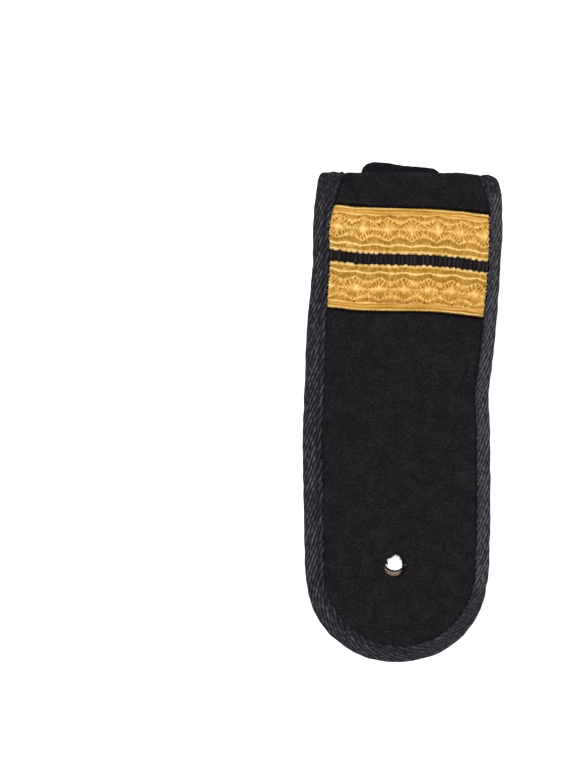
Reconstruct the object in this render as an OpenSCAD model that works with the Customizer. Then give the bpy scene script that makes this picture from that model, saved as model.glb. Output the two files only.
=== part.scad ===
// Shoulder board: a stiff card in a folded cloth cover, bound in twill tape, with a band of woven
// rank braid across its outer end, a button hole near its round end and a cloth strap underneath.
// It lies face up. X runs across the board, Y runs along it to the folded end, Z points out of the face.

/* [Board] */
// Length of the board, from the round end to the folded end
board_l = 130; // [112:1:150]
// Width of the board
board_w = 50; // [44:1:58]
// Corner radius at the left of the folded end
corner_left = 1.8; // [1.2:0.1:4]
// Corner radius at the right of the folded end
corner_right = 5.5; // [1.2:0.1:5.8]

/* [Cover and card] */
// Thickness of the cover's cloth
cloth_t = 1; // [1:0.1:2]
// Thickness of the stiffening card
card_t = 1; // [0.8:0.1:2]
// Gap left between neighbouring pieces
fit_gap = 0.1; // [0.1:0.05:0.3]

/* [Edge binding] */
// Thickness of the binding tape
tape_t = 1; // [1:0.1:1.6]
// How far the tape laps onto the face along the left side
lip_left = 4.8; // [3:0.1:7]
// How far the tape laps onto the face along the right side
lip_right = 3.7; // [3:0.1:7]
// Radius of the tape's roll over the board's edge
roll_r = 1.4; // [0.8:0.1:1.6]

/* [Braid] */
// Width of each gold bar
bar_w = 12.5; // [8:0.5:14]
// Width of the black rib between the bars
rib_w = 2.4; // [2:0.1:5]
// Thickness of the bars
bar_t = 1; // [1:0.1:1.6]
// Thickness of the rib
rib_t = 1; // [1:0.1:1.6]
// Distance from the folded end to the middle of the braid
braid_in = 23.2; // [20:0.1:30]
// Turn of the braid from square, clockwise
braid_turn = 4; // [0:0.5:8]

/* [Button hole] */
// Diameter of the clear hole through the card and the back of the cover
hole_d = 5; // [4:0.1:7]
// How much of the card's rim the hole in the face cloth bares on the side of the round end
rim_show = 1.2; // [0.4:0.1:2]
// Distance from the tip of the round end to the middle of the hole
hole_in = 26.6; // [18:0.1:34]
// Distance of the hole to the left of the round end's middle
hole_side = 0.9; // [0:0.1:3]

/* [Strap] */
// Width of the strap
strap_w = 21; // [16:0.5:24]
// Thickness of the strap
strap_t = 1; // [1:0.1:2]
// How far the strap stands out past the folded end
strap_out = 2.7; // [1.5:0.1:6]
// How much lower the right corner of the strap's sewn end is than its left corner
strap_fall = 1.8; // [0:0.1:2]
// Radius of the left corner of the strap's sewn end
strap_r_left = 2.6; // [1:0.1:4]
// Radius of the right corner of the strap's sewn end
strap_r_right = 1.2; // [0.8:0.1:3]
// Distance of the strap's sewn end to the left of the board's middle
strap_side = 0.5; // [0:0.1:3]
// Diameter of the hole in the strap
strap_hole_d = 7.5; // [6:0.1:10]

/* [Hidden] */
$fn = 96;

// Rows up the two sides, from the middle of the round end to the folded end.
// AT is a share of the straight length. LEFT and RIGHT are how far each side lies from the middle, as
// shares of the board's width. LIP_L and LIP_R are shares of how far the tape laps onto the face.
AT = 0;
LEFT = 1;
RIGHT = 2;
LIP_L = 3;
LIP_R = 4;
SIDES = [
    [0.00, 0.519, 0.458, 1.00, 1.00],
    [0.09, 0.524, 0.465, 1.00, 1.00],
    [0.18, 0.527, 0.466, 1.00, 1.00],
    [0.36, 0.531, 0.464, 0.98, 1.00],
    [0.45, 0.522, 0.458, 0.98, 0.98],
    [0.51, 0.518, 0.475, 0.98, 0.98],
    [0.60, 0.511, 0.494, 1.00, 1.00],
    [0.69, 0.493, 0.510, 1.00, 1.00],
    [0.78, 0.478, 0.522, 0.98, 0.96],
    [0.87, 0.476, 0.531, 1.00, 0.94],
    [0.93, 0.465, 0.527, 1.15, 1.00],
    [1.00, 0.449, 0.522, 1.45, 1.55],
];
TOP = len(SIDES) - 1;
ARC_STEP = 5;
CORNER_STEP = 15;
ROLL_STEP = 30;
CUT = 1;

// Smallest corner of an outline moved in, and how far the tape turns in past a corner
corner_min = 3 * fit_gap;
turn_in = 2 * fit_gap;

// The round end is a half circle between the first row's two sides. The whole part is centred along
// its length, from the tip of the round end to the strap's highest corner.
end_r = board_w * (SIDES[0][RIGHT] + SIDES[0][LEFT]) / 2;
end_x = board_w * (SIDES[0][RIGHT] - SIDES[0][LEFT]) / 2;
straight_l = board_l - end_r;
end_y = -(board_l + strap_out) / 2;
mid_y = end_y + end_r;
top_y = end_y + board_l;

// Heights, from the floor up
cover_z = max(strap_t, tape_t) + fit_gap;
back_z = cover_z + cloth_t;
card_z = back_z + fit_gap;
front_z = card_z + card_t + fit_gap;
face_z = front_z + cloth_t;
tape_z = cover_z - fit_gap - tape_t;
tape_h = face_z + fit_gap + tape_t - tape_z;
braid_z = face_z + fit_gap;
strap_z = cover_z - fit_gap - strap_t;

cover_in = tape_t + fit_gap;
fold_y = top_y - cover_in - cloth_t;
braid_y = top_y - braid_in;
hole_x = end_x - hole_side;
hole_y = end_y + hole_in;

function row_y(i) = mid_y + SIDES[i][AT] * straight_l;
function left_x(i, inset) = inset - SIDES[i][LEFT] * board_w;
function right_x(i, inset) = SIDES[i][RIGHT] * board_w - inset;
function arc(x, y, r, from, to, step) = [for (a = [from:step:to]) [x + r * cos(a), y + r * sin(a)]];

// The board's outline, moved in by a distance, anticlockwise from the middle of the folded end
function outline(inset) =
    let (rl = max(corner_left - inset, corner_min), rr = max(corner_right - inset, corner_min))
    concat(
        arc(left_x(TOP, inset) + rl, top_y - inset - rl, rl, 90, 180, CORNER_STEP),
        [for (i = [TOP - 1:-1:1]) [left_x(i, inset), row_y(i)]],
        arc(end_x, mid_y, end_r - inset, 180, 360, ARC_STEP),
        [for (i = [1:TOP - 1]) [right_x(i, inset), row_y(i)]],
        arc(right_x(TOP, inset) - rr, top_y - inset - rr, rr, 0, 90, CORNER_STEP));

// Where the tape ends along the fold, past the round of each corner
tape_left_x = max(left_x(TOP, 0) + SIDES[TOP][LIP_L] * lip_left, left_x(TOP, 0) + corner_left + turn_in);
tape_right_x = min(right_x(TOP, 0) - SIDES[TOP][LIP_R] * lip_right, right_x(TOP, 0) - corner_right - turn_in);
tape_end_y = top_y - max(roll_r, tape_t) - turn_in;

// The outline from one end of the tape to the other, moved in by a distance
function tape_path(inset) =
    concat([[tape_left_x, top_y - inset]], outline(inset), [[tape_right_x, top_y - inset]]);

// The tape's edge on the face, point for point with the path above, moved in by a distance
function lip_left_at(i, inset) = [left_x(i, inset) + SIDES[i][LIP_L] * lip_left, row_y(i)];
function lip_right_at(i, inset) = [right_x(i, inset) - SIDES[i][LIP_R] * lip_right, row_y(i)];
function between(a, b, share) = a + (b - a) * share;
function lip_edge(inset) =
    let (end_l = [tape_left_x + inset, tape_end_y], end_r = [tape_right_x - inset, tape_end_y],
        steps = 90 / CORNER_STEP + 2)
    concat(
        [for (k = [0:steps - 1]) between(end_l, lip_left_at(TOP - 1, inset), k / steps)],
        [for (i = [TOP - 1:-1:1]) lip_left_at(i, inset)],
        arc(end_x + (lip_left - lip_right) / 2, mid_y,
            end_r_inside() - inset, 180, 360, ARC_STEP),
        [for (i = [1:TOP - 1]) lip_right_at(i, inset)],
        [for (k = [steps - 1:-1:0]) between(end_r, lip_right_at(TOP - 1, inset), k / steps)]);
function end_r_inside() = end_r - (lip_left + lip_right) / 2;

// The part of the face that the tape leaves bare, moved in by a distance and open at the folded end
function bare_face(inset) =
    concat([[tape_left_x + inset, top_y + CUT]], lip_edge(inset), [[tape_right_x - inset, top_y + CUT]]);

// Outline of the cloth cover: tucked under the tape, and out to the fold where there is no tape
module cover_outline() {
    polygon(outline(cover_in));
    intersection() {
        polygon(outline(0));
        polygon(bare_face(fit_gap));
        translate([-board_w, fold_y]) square([2 * board_w, top_y - fold_y]);
    }
}

// Everything on the round end's side of a line across the board
module below(y) {
    translate([-board_w, end_y - CUT]) square([2 * board_w, y - end_y + CUT]);
}

// Side view of the cover: a strip whose end at the fold is a half round
module fold_profile() {
    fold_r = (face_z - cover_z) / 2;
    translate([end_y - CUT, cover_z]) square([top_y - fold_r - end_y + CUT, 2 * fold_r]);
    translate([top_y - fold_r, cover_z + fold_r]) circle(r = fold_r);
}

// One cloth folded over the end of the card, with its raw edges inside the binding
module cloth_cover() color([0.14, 0.135, 0.145]) difference() {
    intersection() {
        translate([0, 0, cover_z - CUT]) linear_extrude(face_z - cover_z + 2 * CUT) cover_outline();
        rotate([90, 0, 90]) translate([0, 0, -board_w]) linear_extrude(2 * board_w) fold_profile();
    }
    translate([0, 0, back_z]) linear_extrude(front_z - back_z) below(fold_y);
    translate([hole_x, hole_y, cover_z - CUT]) cylinder(d = hole_d, h = cloth_t + CUT + fit_gap);
    translate([hole_x, hole_y - rim_show / 2, front_z - fit_gap])
        cylinder(d = hole_d + rim_show, h = cloth_t + CUT + fit_gap);
}

// Card between the two layers of the cover
module stiffener() color([0.72, 0.62, 0.5]) difference() {
    translate([0, 0, card_z]) linear_extrude(card_t) intersection() {
        polygon(outline(cover_in));
        below(fold_y - fit_gap);
    }
    translate([hole_x, hole_y, card_z - CUT]) cylinder(d = hole_d, h = card_t + 2 * CUT);
}

// Twill tape folded over the two sides and the round end, and turned in at both corners of the fold.
// Its section is a U with a rolled back: lip edges, the roll on the outside, the groove on the inside.
module edge_binding() color([0.2, 0.19, 0.22]) {
    low = tape_z;
    high = tape_z + tape_h;
    edge = lip_edge(0);
    groove = tape_path(tape_t);
    rolls = [for (a = [0:ROLL_STEP:90]) [tape_path(roll_r * (1 - sin(a))), roll_r * (1 - cos(a))]];
    turns = len(rolls) - 1;
    lines = concat(
        [[edge, low]],
        [for (k = [0:turns]) [rolls[k][0], low + rolls[k][1]]],
        [for (k = [turns:-1:0]) [rolls[k][0], high - rolls[k][1]]],
        [[edge, high], [edge, face_z + fit_gap], [groove, face_z + fit_gap],
            [groove, cover_z - fit_gap], [edge, cover_z - fit_gap]]);
    n = len(edge);
    m = len(lines);
    // The section cut into triangles, for the tape's two ends: lower lip, roll, back wall, roll, upper lip
    in_low = m - 2;
    in_high = m - 3;
    section = concat(
        [[m - 1, 0, 1], [m - 1, 1, in_low]],
        [for (j = [1:turns + 1]) [in_low, j, j + 1]],
        [[in_low, turns + 2, in_high]],
        [for (j = [turns + 2:2 * turns + 1]) [in_high, j, j + 1]],
        [[in_high, m - 6, m - 5], [in_high, m - 5, m - 4]]);
    polyhedron(
        points = [for (line = lines) for (p = line[0]) [p[0], p[1], line[1]]],
        faces = concat(
            [for (j = [0:m - 1]) for (k = [0:n - 2]) for (half = [0, 1])
                let (a = j * n + k, b = ((j + 1) % m) * n + k)
                half == 0 ? [a, b, b + 1] : [a, b + 1, a + 1]],
            [for (c = section) [c[2] * n, c[1] * n, c[0] * n]],
            [for (c = section) [for (j = c) j * n + n - 1]]));
}

// A band across the bare face, turned with the braid, from one height to another above its middle
module band(low, high, t) {
    translate([0, 0, braid_z]) linear_extrude(t) intersection() {
        polygon(bare_face(fit_gap));
        translate([0, braid_y]) rotate(-braid_turn) translate([-board_w, low]) square([2 * board_w, high - low]);
    }
}

module upper_bar() color([0.85, 0.65, 0.33]) band(rib_w / 2 + fit_gap, rib_w / 2 + fit_gap + bar_w, bar_t);

module centre_rib() color([0.11, 0.1, 0.12]) band(-rib_w / 2, rib_w / 2, rib_t);

module lower_bar() color([0.83, 0.63, 0.32]) band(-rib_w / 2 - fit_gap - bar_w, -rib_w / 2 - fit_gap, bar_t);

// Strap flat against the back: a round free end about its own hole, and a sewn end past the fold
module under_strap() color([0.13, 0.12, 0.14]) difference() {
    strap_l = -strap_side - strap_w / 2;
    strap_r = -strap_side + strap_w / 2;
    high_y = top_y + strap_out;
    low_y = high_y - strap_fall;
    translate([0, 0, strap_z]) linear_extrude(strap_t) {
        translate([hole_x, hole_y]) circle(d = strap_w);
        polygon([
            [hole_x - strap_w / 2, hole_y],
            [hole_x + strap_w / 2, hole_y],
            [strap_r, low_y - strap_r_right],
            [strap_r - strap_r_right, low_y],
            [strap_l + strap_r_left, high_y],
            [strap_l, high_y - strap_r_left],
        ]);
        translate([strap_r - strap_r_right, low_y - strap_r_right]) circle(r = strap_r_right);
        translate([strap_l + strap_r_left, high_y - strap_r_left]) circle(r = strap_r_left);
    }
    translate([hole_x, hole_y, strap_z - CUT]) cylinder(d = strap_hole_d, h = strap_t + 2 * CUT);
}

cloth_cover();
stiffener();
edge_binding();
upper_bar();
centre_rib();
lower_bar();
under_strap();
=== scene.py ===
import math
import bpy
import numpy as np
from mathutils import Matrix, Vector


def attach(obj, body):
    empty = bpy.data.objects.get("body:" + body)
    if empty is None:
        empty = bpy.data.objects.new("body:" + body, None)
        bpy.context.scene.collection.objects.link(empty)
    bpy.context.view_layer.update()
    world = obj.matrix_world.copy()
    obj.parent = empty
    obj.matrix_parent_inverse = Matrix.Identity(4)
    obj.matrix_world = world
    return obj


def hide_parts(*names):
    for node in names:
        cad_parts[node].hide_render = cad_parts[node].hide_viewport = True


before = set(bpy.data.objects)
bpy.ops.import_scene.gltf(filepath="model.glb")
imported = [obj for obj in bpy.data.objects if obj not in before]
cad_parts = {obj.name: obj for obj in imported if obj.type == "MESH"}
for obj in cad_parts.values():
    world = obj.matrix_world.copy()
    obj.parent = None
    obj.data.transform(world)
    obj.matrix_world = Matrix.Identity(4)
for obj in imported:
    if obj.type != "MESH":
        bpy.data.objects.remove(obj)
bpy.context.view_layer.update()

mm = 0.001
lightLevel = 1.25  # what a white surface facing up sends back, 1 being white

# the board in millimetres: the solids' outline, and openings and tape a little finer than theirs
board = {
    "width": 50.0, "tip": -66.35, "fold": 63.65, "cornerLeft": 1.8, "cornerRight": 5.5,
    "lipLeft": 4.8, "lipRight": 3.7, "coverIn": 1.1, "coverLow": 1.1,
    "hole": (-2.425, -39.75), "holeRadius": 2.5,
    # the openings in face cloth, card and back cloth: X, Y, half width, half height
    "faceHole": (-2.46, -40.85, 2.5, 2.73),
    "cardHole": (-2.15, -39.62, 2.95, 2.9),
    "backHole": (-2.05, -39.4, 2.8, 2.72),
    # angle, distance from the middle of the opening in the face cloth
    "faceLine": [
        (-174, 2.48), (-141, 2.55), (-111, 2.64), (-82, 2.76), (-53, 2.82), (-39, 2.62), (-13, 2.32), (0, 2.32),
        (18, 2.42), (39, 2.72), (60, 2.92), (80, 2.95), (90, 2.72), (98, 2.36), (106, 2.24), (118, 2.36),
        (130, 2.36), (142, 2.15), (150, 1.75), (157, 1.42), (163, 1.62), (168, 2.3), (173, 2.5),
    ],
    # share of the straight length, reach left and right as a share of the width,
    # and the tape's reach on the face left and right as a share of lipLeft and lipRight
    "rows": [
        (0.00, 0.519, 0.458, 1.08, 1.00),
        (0.09, 0.524, 0.465, 1.09, 1.00),
        (0.18, 0.527, 0.466, 1.09, 1.00),
        (0.36, 0.531, 0.464, 1.08, 1.01),
        (0.45, 0.522, 0.458, 1.08, 1.00),
        (0.51, 0.518, 0.475, 1.08, 1.00),
        (0.60, 0.511, 0.494, 1.08, 0.98),
        (0.69, 0.493, 0.510, 0.945, 0.90),
        (0.78, 0.478, 0.522, 0.905, 0.88),
        (0.87, 0.476, 0.531, 0.895, 0.93),
        (0.93, 0.465, 0.527, 1.09, 1.00),
        (1.00, 0.449, 0.522, 1.45, 1.55),
    ],
}


def smoothLine(knots, values):
    # a smooth curve through a short table, straight on past both ends
    k, v = np.array(knots, float), np.array(values, float)
    slope = np.gradient(v, k)

    def at(x):
        x = np.asarray(x, float)
        i = np.clip(np.searchsorted(k, x) - 1, 0, len(k) - 2)
        h = k[i + 1] - k[i]
        t = np.clip((x - k[i]) / h, 0, 1)
        y = ((2 * t**3 - 3 * t**2 + 1) * v[i] + (t**3 - 2 * t**2 + t) * h * slope[i]
             + (3 * t**2 - 2 * t**3) * v[i + 1] + (t**3 - t**2) * h * slope[i + 1])
        return y + np.minimum(x - k[0], 0) * slope[0] + np.maximum(x - k[-1], 0) * slope[-1]

    return at


rows = np.array(board["rows"])
endR = board["width"] * (rows[0, 1] + rows[0, 2]) / 2
endX = board["width"] * (rows[0, 2] - rows[0, 1]) / 2
midY = board["tip"] + endR
foldY = board["fold"]
rowY = midY + rows[:, 0] * (foldY - midY)
leftX = smoothLine(rowY, -rows[:, 1] * board["width"])
rightX = smoothLine(rowY, rows[:, 2] * board["width"])
lipLeft = smoothLine(rowY, rows[:, 3] * board["lipLeft"])
lipRight = smoothLine(rowY, rows[:, 4] * board["lipRight"])
lipMiddleX = endX + (board["lipLeft"] - board["lipRight"]) / 2
lipRadius = endR - (board["lipLeft"] + board["lipRight"]) / 2


def smoothStep(x, low, high):
    t = np.clip((np.asarray(x, float) - low) / (high - low), 0, 1)
    return t * t * (3 - 2 * t)


def bell(x, middle, wide):
    # 1 at the middle, falling off softly on both sides
    return np.exp(-((x - middle) / wide) ** 2)


def softNoise(x, y, size, seed):
    # smooth repeatable unevenness, about -1 to 1
    r = np.random.default_rng(seed)
    total = np.zeros(np.broadcast(x, y).shape)
    for _ in range(9):
        a = r.uniform(0, 2 * math.pi)
        f = 2 * math.pi / size * r.uniform(0.6, 1.7)
        total += np.sin((x * math.cos(a) + y * math.sin(a)) * f + r.uniform(0, 6.3))
    return total / 4.2


def uneven(how, x, y=0.0):
    # how is amount, size and seed
    amount, size, seed = how
    return amount * softNoise(x, y, size, seed)


def weaveNoise(u, v, pitch, run, seed):
    # every thread has its own tone, which changes slowly along it
    threads, tones = 509, 61
    table = np.random.default_rng(seed).uniform(-1, 1, (threads, tones))
    thread = np.floor(u / pitch).astype(int) % threads
    t = v / run
    i = np.floor(t).astype(int)
    f = smoothStep(t - i, 0, 1)
    return table[thread, i % tones] * (1 - f) + table[thread, (i + 1) % tones] * f


def threadRise(frac, full):
    # the rounded back of a thread, frac going from -0.5 to 0.5 across it
    return np.sqrt(np.clip(1 - (2 * frac) ** 2 * full, 0, 1))


def arcPoints(x, y, r, start, end, step):
    n = max(4, int(abs(math.radians(end - start)) * max(r, 0.5) / step))
    a = np.radians(np.linspace(start, end, n + 1))
    return np.column_stack([x + r * np.cos(a), y + r * np.sin(a)])


def lipLineX(y, side):
    # where the tape's inner edge lies on the face, side -1 left and 1 right
    y = np.asarray(y, float)
    straight = leftX(y) + lipLeft(y) if side < 0 else rightX(y) - lipRight(y)
    bow = lipMiddleX + side * np.sqrt(np.maximum(lipRadius * lipRadius - (y - midY) ** 2, 0))
    return np.where(y < midY, bow, straight)


# helpers for building

def deselect():
    if bpy.context.mode != "OBJECT":
        bpy.ops.object.mode_set(mode="OBJECT")
    bpy.ops.object.select_all(action="DESELECT")


def pick(obj):
    deselect()
    obj.select_set(True)
    bpy.context.view_layer.objects.active = obj


def startEdit(obj, action="SELECT"):
    pick(obj)
    bpy.ops.object.mode_set(mode="EDIT")
    bpy.ops.mesh.select_all(action=action)


def endEdit():
    bpy.ops.object.mode_set(mode="OBJECT")


def getPoints(obj):
    co = np.empty(len(obj.data.vertices) * 3)
    obj.data.vertices.foreach_get("co", co)
    return co.reshape(-1, 3) / mm


def setPoints(obj, points):
    obj.data.vertices.foreach_set("co", (np.asarray(points, float) * mm).ravel())
    obj.data.update()


def gridPiece(name, points):
    # a sheet of faces through rows x columns x 3 points
    deselect()
    bpy.ops.mesh.primitive_grid_add(x_subdivisions=points.shape[1] - 1, y_subdivisions=points.shape[0] - 1, size=1)
    obj = bpy.context.object
    obj.name = obj.data.name = name
    setPoints(obj, points)
    return obj


def setMasks(obj, **masks):
    for name, values in masks.items():
        layer = obj.data.attributes.new(name, "FLOAT", "POINT")
        layer.data.foreach_set("value", np.asarray(values, float).ravel())


def applyModifier(obj, kind, **values):
    pick(obj)
    mod = obj.modifiers.new(kind.title(), kind)
    for key, value in values.items():
        setattr(mod, key, value)
    bpy.ops.object.modifier_apply(modifier=mod.name)


def gridNormals(p):
    # p is rows x columns x 3
    n = np.cross(np.gradient(p, axis=1), np.gradient(p, axis=0))
    return n / np.maximum(np.linalg.norm(n, axis=2, keepdims=True), 1e-9)


def mergePoints(obj, gap):
    startEdit(obj)
    bpy.ops.mesh.remove_doubles(threshold=gap)
    endEdit()


def selectOpenEdges():
    bpy.ops.mesh.select_mode(type="EDGE")
    bpy.ops.mesh.select_all(action="DESELECT")
    bpy.ops.mesh.select_non_manifold(extend=False, use_wire=False, use_boundary=True,
                                     use_multi_face=False, use_non_contiguous=False, use_verts=False)


def fillOpenings(obj):
    startEdit(obj)
    selectOpenEdges()
    bpy.ops.mesh.edge_face_add()
    bpy.ops.mesh.select_all(action="SELECT")
    bpy.ops.mesh.normals_make_consistent(inside=False)
    endEdit()


def restOnFloor(obj):
    # nothing dips under the plane it lies on
    co = getPoints(obj)
    co[:, 2] = np.maximum(co[:, 2], 0.0)
    setPoints(obj, co)


def finishPiece(obj, angle, material, slot, *nodes):
    # smooth up to that angle, dressed, and standing for those solids
    pick(obj)
    bpy.ops.object.shade_smooth_by_angle(angle=math.radians(angle))
    obj.data.materials.clear()
    obj.data.materials.append(material)
    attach(obj, "root")
    if nodes:
        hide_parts(*nodes)
    return obj


def placement(along, up, place, scale):
    # x axis along the thread, z axis near up: the three axes and the place side by side
    x = along / np.linalg.norm(along)
    y = np.cross(up, x)
    y /= max(np.linalg.norm(y), 1e-9)
    z = np.cross(x, y)
    return np.column_stack([x * scale[0], y * scale[1], z * scale[2], place])


def scatter(name, seeds, spots):
    # one joined mesh: the seeds' meshes in turn, one at every placement
    spots = np.asarray(spots, float)
    points, faces, count = [], [], 0
    for i, seed in enumerate(seeds):
        co, mine = getPoints(seed), spots[i::len(seeds)]
        loops = np.array([tuple(f.vertices) for f in seed.data.polygons])
        points.append((np.einsum("nij,vj->nvi", mine[:, :, :3], co) + mine[:, None, :, 3]).reshape(-1, 3))
        firstOfEach = count + np.arange(len(mine)) * len(co)
        faces.append((loops[None] + firstOfEach[:, None, None]).reshape(-1, 3))
        count += len(points[-1])
        bpy.data.objects.remove(seed)
    mesh = bpy.data.meshes.new(name)
    mesh.from_pydata((np.vstack(points) * mm).tolist(), [], np.vstack(faces).tolist())
    mesh.update()
    obj = bpy.data.objects.new(name, mesh)
    bpy.context.scene.collection.objects.link(obj)
    return obj


def threadSeed(radii, sides, rise=0.0, curl=0.0):
    # a thread from x 0 to 1, a unit thick, closed at both ends, bowed up by rise and sideways by curl
    t = np.linspace(0, 1, len(radii))
    a = np.linspace(0, 2 * math.pi, sides + 1)[:, None]
    r = np.array(radii) / 2
    seed = gridPiece("seedThread", np.stack([np.broadcast_to(t, (sides + 1, len(radii))),
                                             r * np.cos(a) + curl * t**2,
                                             r * np.sin(a) + rise * np.sin(math.pi * t)], -1))
    startEdit(seed)
    bpy.ops.mesh.remove_doubles(threshold=1e-6)
    bpy.ops.mesh.quads_convert_to_tris()
    bpy.ops.mesh.normals_make_consistent(inside=False)
    endEdit()
    return seed


# loose fibres: thickness along one, and how the four kinds bow and curl
fibre = {"radii": (0.0, 1.0, 0.9, 0.6, 0.0), "bends": [(2.0, 4.0), (4.0, -6.0), (1.0, 9.0), (3.0, -2.0)]}


def fibreSeeds(bend=1.0):
    return [threadSeed(fibre["radii"], 3, rise * bend, curl * bend) for rise, curl in fibre["bends"]]


def castOn(obj, place, way):
    # where a line from a place meets the piece, in millimetres, and the surface's normal there
    hit, at, normal, _ = obj.ray_cast(Vector(np.array(place) * mm), Vector(way))
    return (np.array(at) / mm, np.array(normal)) if hit else (None, None)


def castUpright(obj, x, y, face=True):
    # straight down onto the face, or straight up onto the back
    return castOn(obj, (x, y, 8 if face else -3), (0, 0, -1 if face else 1))


def fibreAlong(normal, lift, r, way=None, spread=0.0):
    # a direction near way, or any way round, raised off the surface by lift radians
    normal = normal / np.linalg.norm(normal)
    if way is None:
        turn = r.uniform(0, 2 * math.pi)
        first = np.cross(normal, (0, 0, 1) if abs(normal[2]) < 0.8 else (1, 0, 0))
    else:
        turn = r.normal(0, spread)
        first = np.array(way, float)
    first = first - normal * (first @ normal)
    first /= max(np.linalg.norm(first), 1e-9)
    second = np.cross(normal, first)
    flat = first * math.cos(turn) + second * math.sin(turn)
    return flat * math.cos(lift) + normal * math.sin(lift)


# materials

def addNode(tree, kind, place, inputs=None, **values):
    # each input takes another node's output, or a plain number or colour
    node = tree.nodes.new(kind)
    node.location = place
    for key, value in values.items():
        setattr(node, key, value)
    for key, value in (inputs or {}).items():
        if isinstance(value, bpy.types.NodeSocket):
            tree.links.new(value, node.inputs[key])
        elif value is not None:
            node.inputs[key].default_value = value
    return node


def newMaterial(name, rough, specular):
    mat = bpy.data.materials.new(name)
    mat.use_nodes = True
    tree = mat.node_tree
    tree.nodes.clear()
    out = addNode(tree, "ShaderNodeOutputMaterial", (600, 0))
    shader = addNode(tree, "ShaderNodeBsdfPrincipled", (300, 0), {"Roughness": rough, "Specular IOR Level": specular})
    tree.links.new(shader.outputs[0], out.inputs[0])
    coords = addNode(tree, "ShaderNodeTexCoord", (-1400, 0)).outputs["Object"]
    return mat, tree, shader, coords


def asSeen(r, g, b, gloss=0.0):
    # the colour a surface needs to look like this 8 bit colour under the scene's light
    def toLinear(c):
        c /= 255
        c = c / 12.92 if c <= 0.04045 else ((c + 0.055) / 1.055) ** 2.4
        return min(0.95, max(0.0005, c / lightLevel - gloss))
    return (toLinear(r), toLinear(g), toLinear(b), 1)


def seenRamp(*stops):
    # stops are place, red, green, blue and gloss
    return [(place, asSeen(*colour)) for place, *colour in stops]


def mathNode(tree, operation, a, b, place):
    return addNode(tree, "ShaderNodeMath", place, {0: a, 1: b}, operation=operation).outputs[0]


def noiseNode(tree, place, **inputs):
    return addNode(tree, "ShaderNodeTexNoise", place, inputs).outputs["Fac"]


def maskNode(tree, name, place):
    return addNode(tree, "ShaderNodeAttribute", place, attribute_name=name).outputs["Fac"]


def rampNode(tree, fac, stops, place):
    node = addNode(tree, "ShaderNodeValToRGB", place, {0: fac})
    elements = node.color_ramp.elements
    while len(elements) > 1:
        elements.remove(elements[-1])
    for i, (position, colour) in enumerate(stops):
        e = elements[0] if i == 0 else elements.new(position)
        e.position = position
        e.color = colour
    return node.outputs[0]


def mixColour(tree, fac, a, b, place, blend="MIX"):
    node = addNode(tree, "ShaderNodeMix", place, {0: fac, 6: a, 7: b}, data_type="RGBA", blend_type=blend)
    return node.outputs[2]


def bumpNode(tree, shader, height, strength, distance, place):
    node = addNode(tree, "ShaderNodeBump", place, {"Strength": strength, "Distance": distance, "Height": height})
    tree.links.new(node.outputs[0], shader.inputs["Normal"])


def newGroup(name, inputs, outputs):
    # a node group with number inputs, or a vector where the value is None, and number outputs
    group = bpy.data.node_groups.new(name, "ShaderNodeTree")
    for key, value in inputs.items():
        kind = "NodeSocketVector" if value is None else "NodeSocketFloat"
        socket = group.interface.new_socket(key, in_out="INPUT", socket_type=kind)
        if value is not None:
            socket.default_value = value
    for key in outputs:
        group.interface.new_socket(key, in_out="OUTPUT", socket_type="NodeSocketFloat")
    return group, addNode(group, "NodeGroupInput", (-900, 0)).outputs


def makeTwistGroup():
    # twisted strands seen along a thread: Across counts threads, Along is the distance in millimetres
    group, given = newGroup("threadTwist", {"Across": 0.0, "Along": 0.0, "Strand": 0.4, "Slant": 1.0},
                            ("Round", "Strands"))

    def wave(value, place):
        return mathNode(group, "ABSOLUTE", mathNode(group, "COSINE", value, None, place), None, (150, place[1]))

    half = mathNode(group, "MULTIPLY", given["Across"], math.pi, (-600, 200))
    roundOff = mathNode(group, "POWER", wave(half, (-200, 200)), 0.6, (300, 200))
    turns = mathNode(group, "DIVIDE", given["Along"], given["Strand"], (-600, -50))
    leant = mathNode(group, "MULTIPLY", given["Across"], given["Slant"], (-600, -250))
    both = mathNode(group, "ADD", turns, leant, (-400, -100))
    strands = wave(mathNode(group, "MULTIPLY", both, math.pi, (-200, -100)), (0, -100))
    addNode(group, "NodeGroupOutput", (500, 0), {0: roundOff, 1: strands})
    return group


def makeNapGroup():
    # felted fibres: fine matted noise at two sizes, and sparse pale flecks
    group, given = newGroup("woolNap", {"Vector": None, "Fibre": 5200.0, "Clump": 620.0, "Fleck": 900.0},
                            ("Nap", "Clumps", "Flecks"))
    fine = noiseNode(group, (-500, 300), Vector=given["Vector"], Scale=given["Fibre"],
                     Detail=5.0, Roughness=0.7, Distortion=0.8)
    clump = noiseNode(group, (-500, 0), Vector=given["Vector"], Scale=given["Clump"],
                      Detail=4.0, Roughness=0.6, Distortion=0.6)
    fleck = addNode(group, "ShaderNodeTexVoronoi", (-500, -300), {"Vector": given["Vector"], "Scale": given["Fleck"]},
                    feature="F1")
    spot = mathNode(group, "LESS_THAN", fleck.outputs["Distance"], 0.1, (-200, -300))
    rare = addNode(group, "ShaderNodeSeparateColor", (-300, -480), {0: fleck.outputs["Color"]}).outputs[0]
    chosen = mathNode(group, "GREATER_THAN", rare, 0.97, (-100, -480))
    flecks = mathNode(group, "MULTIPLY", spot, chosen, (100, -380))
    addNode(group, "NodeGroupOutput", (600, 0), {0: fine, 1: clump, 2: flecks})
    return group


threadTwist = makeTwistGroup()
woolNap = makeNapGroup()


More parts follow.
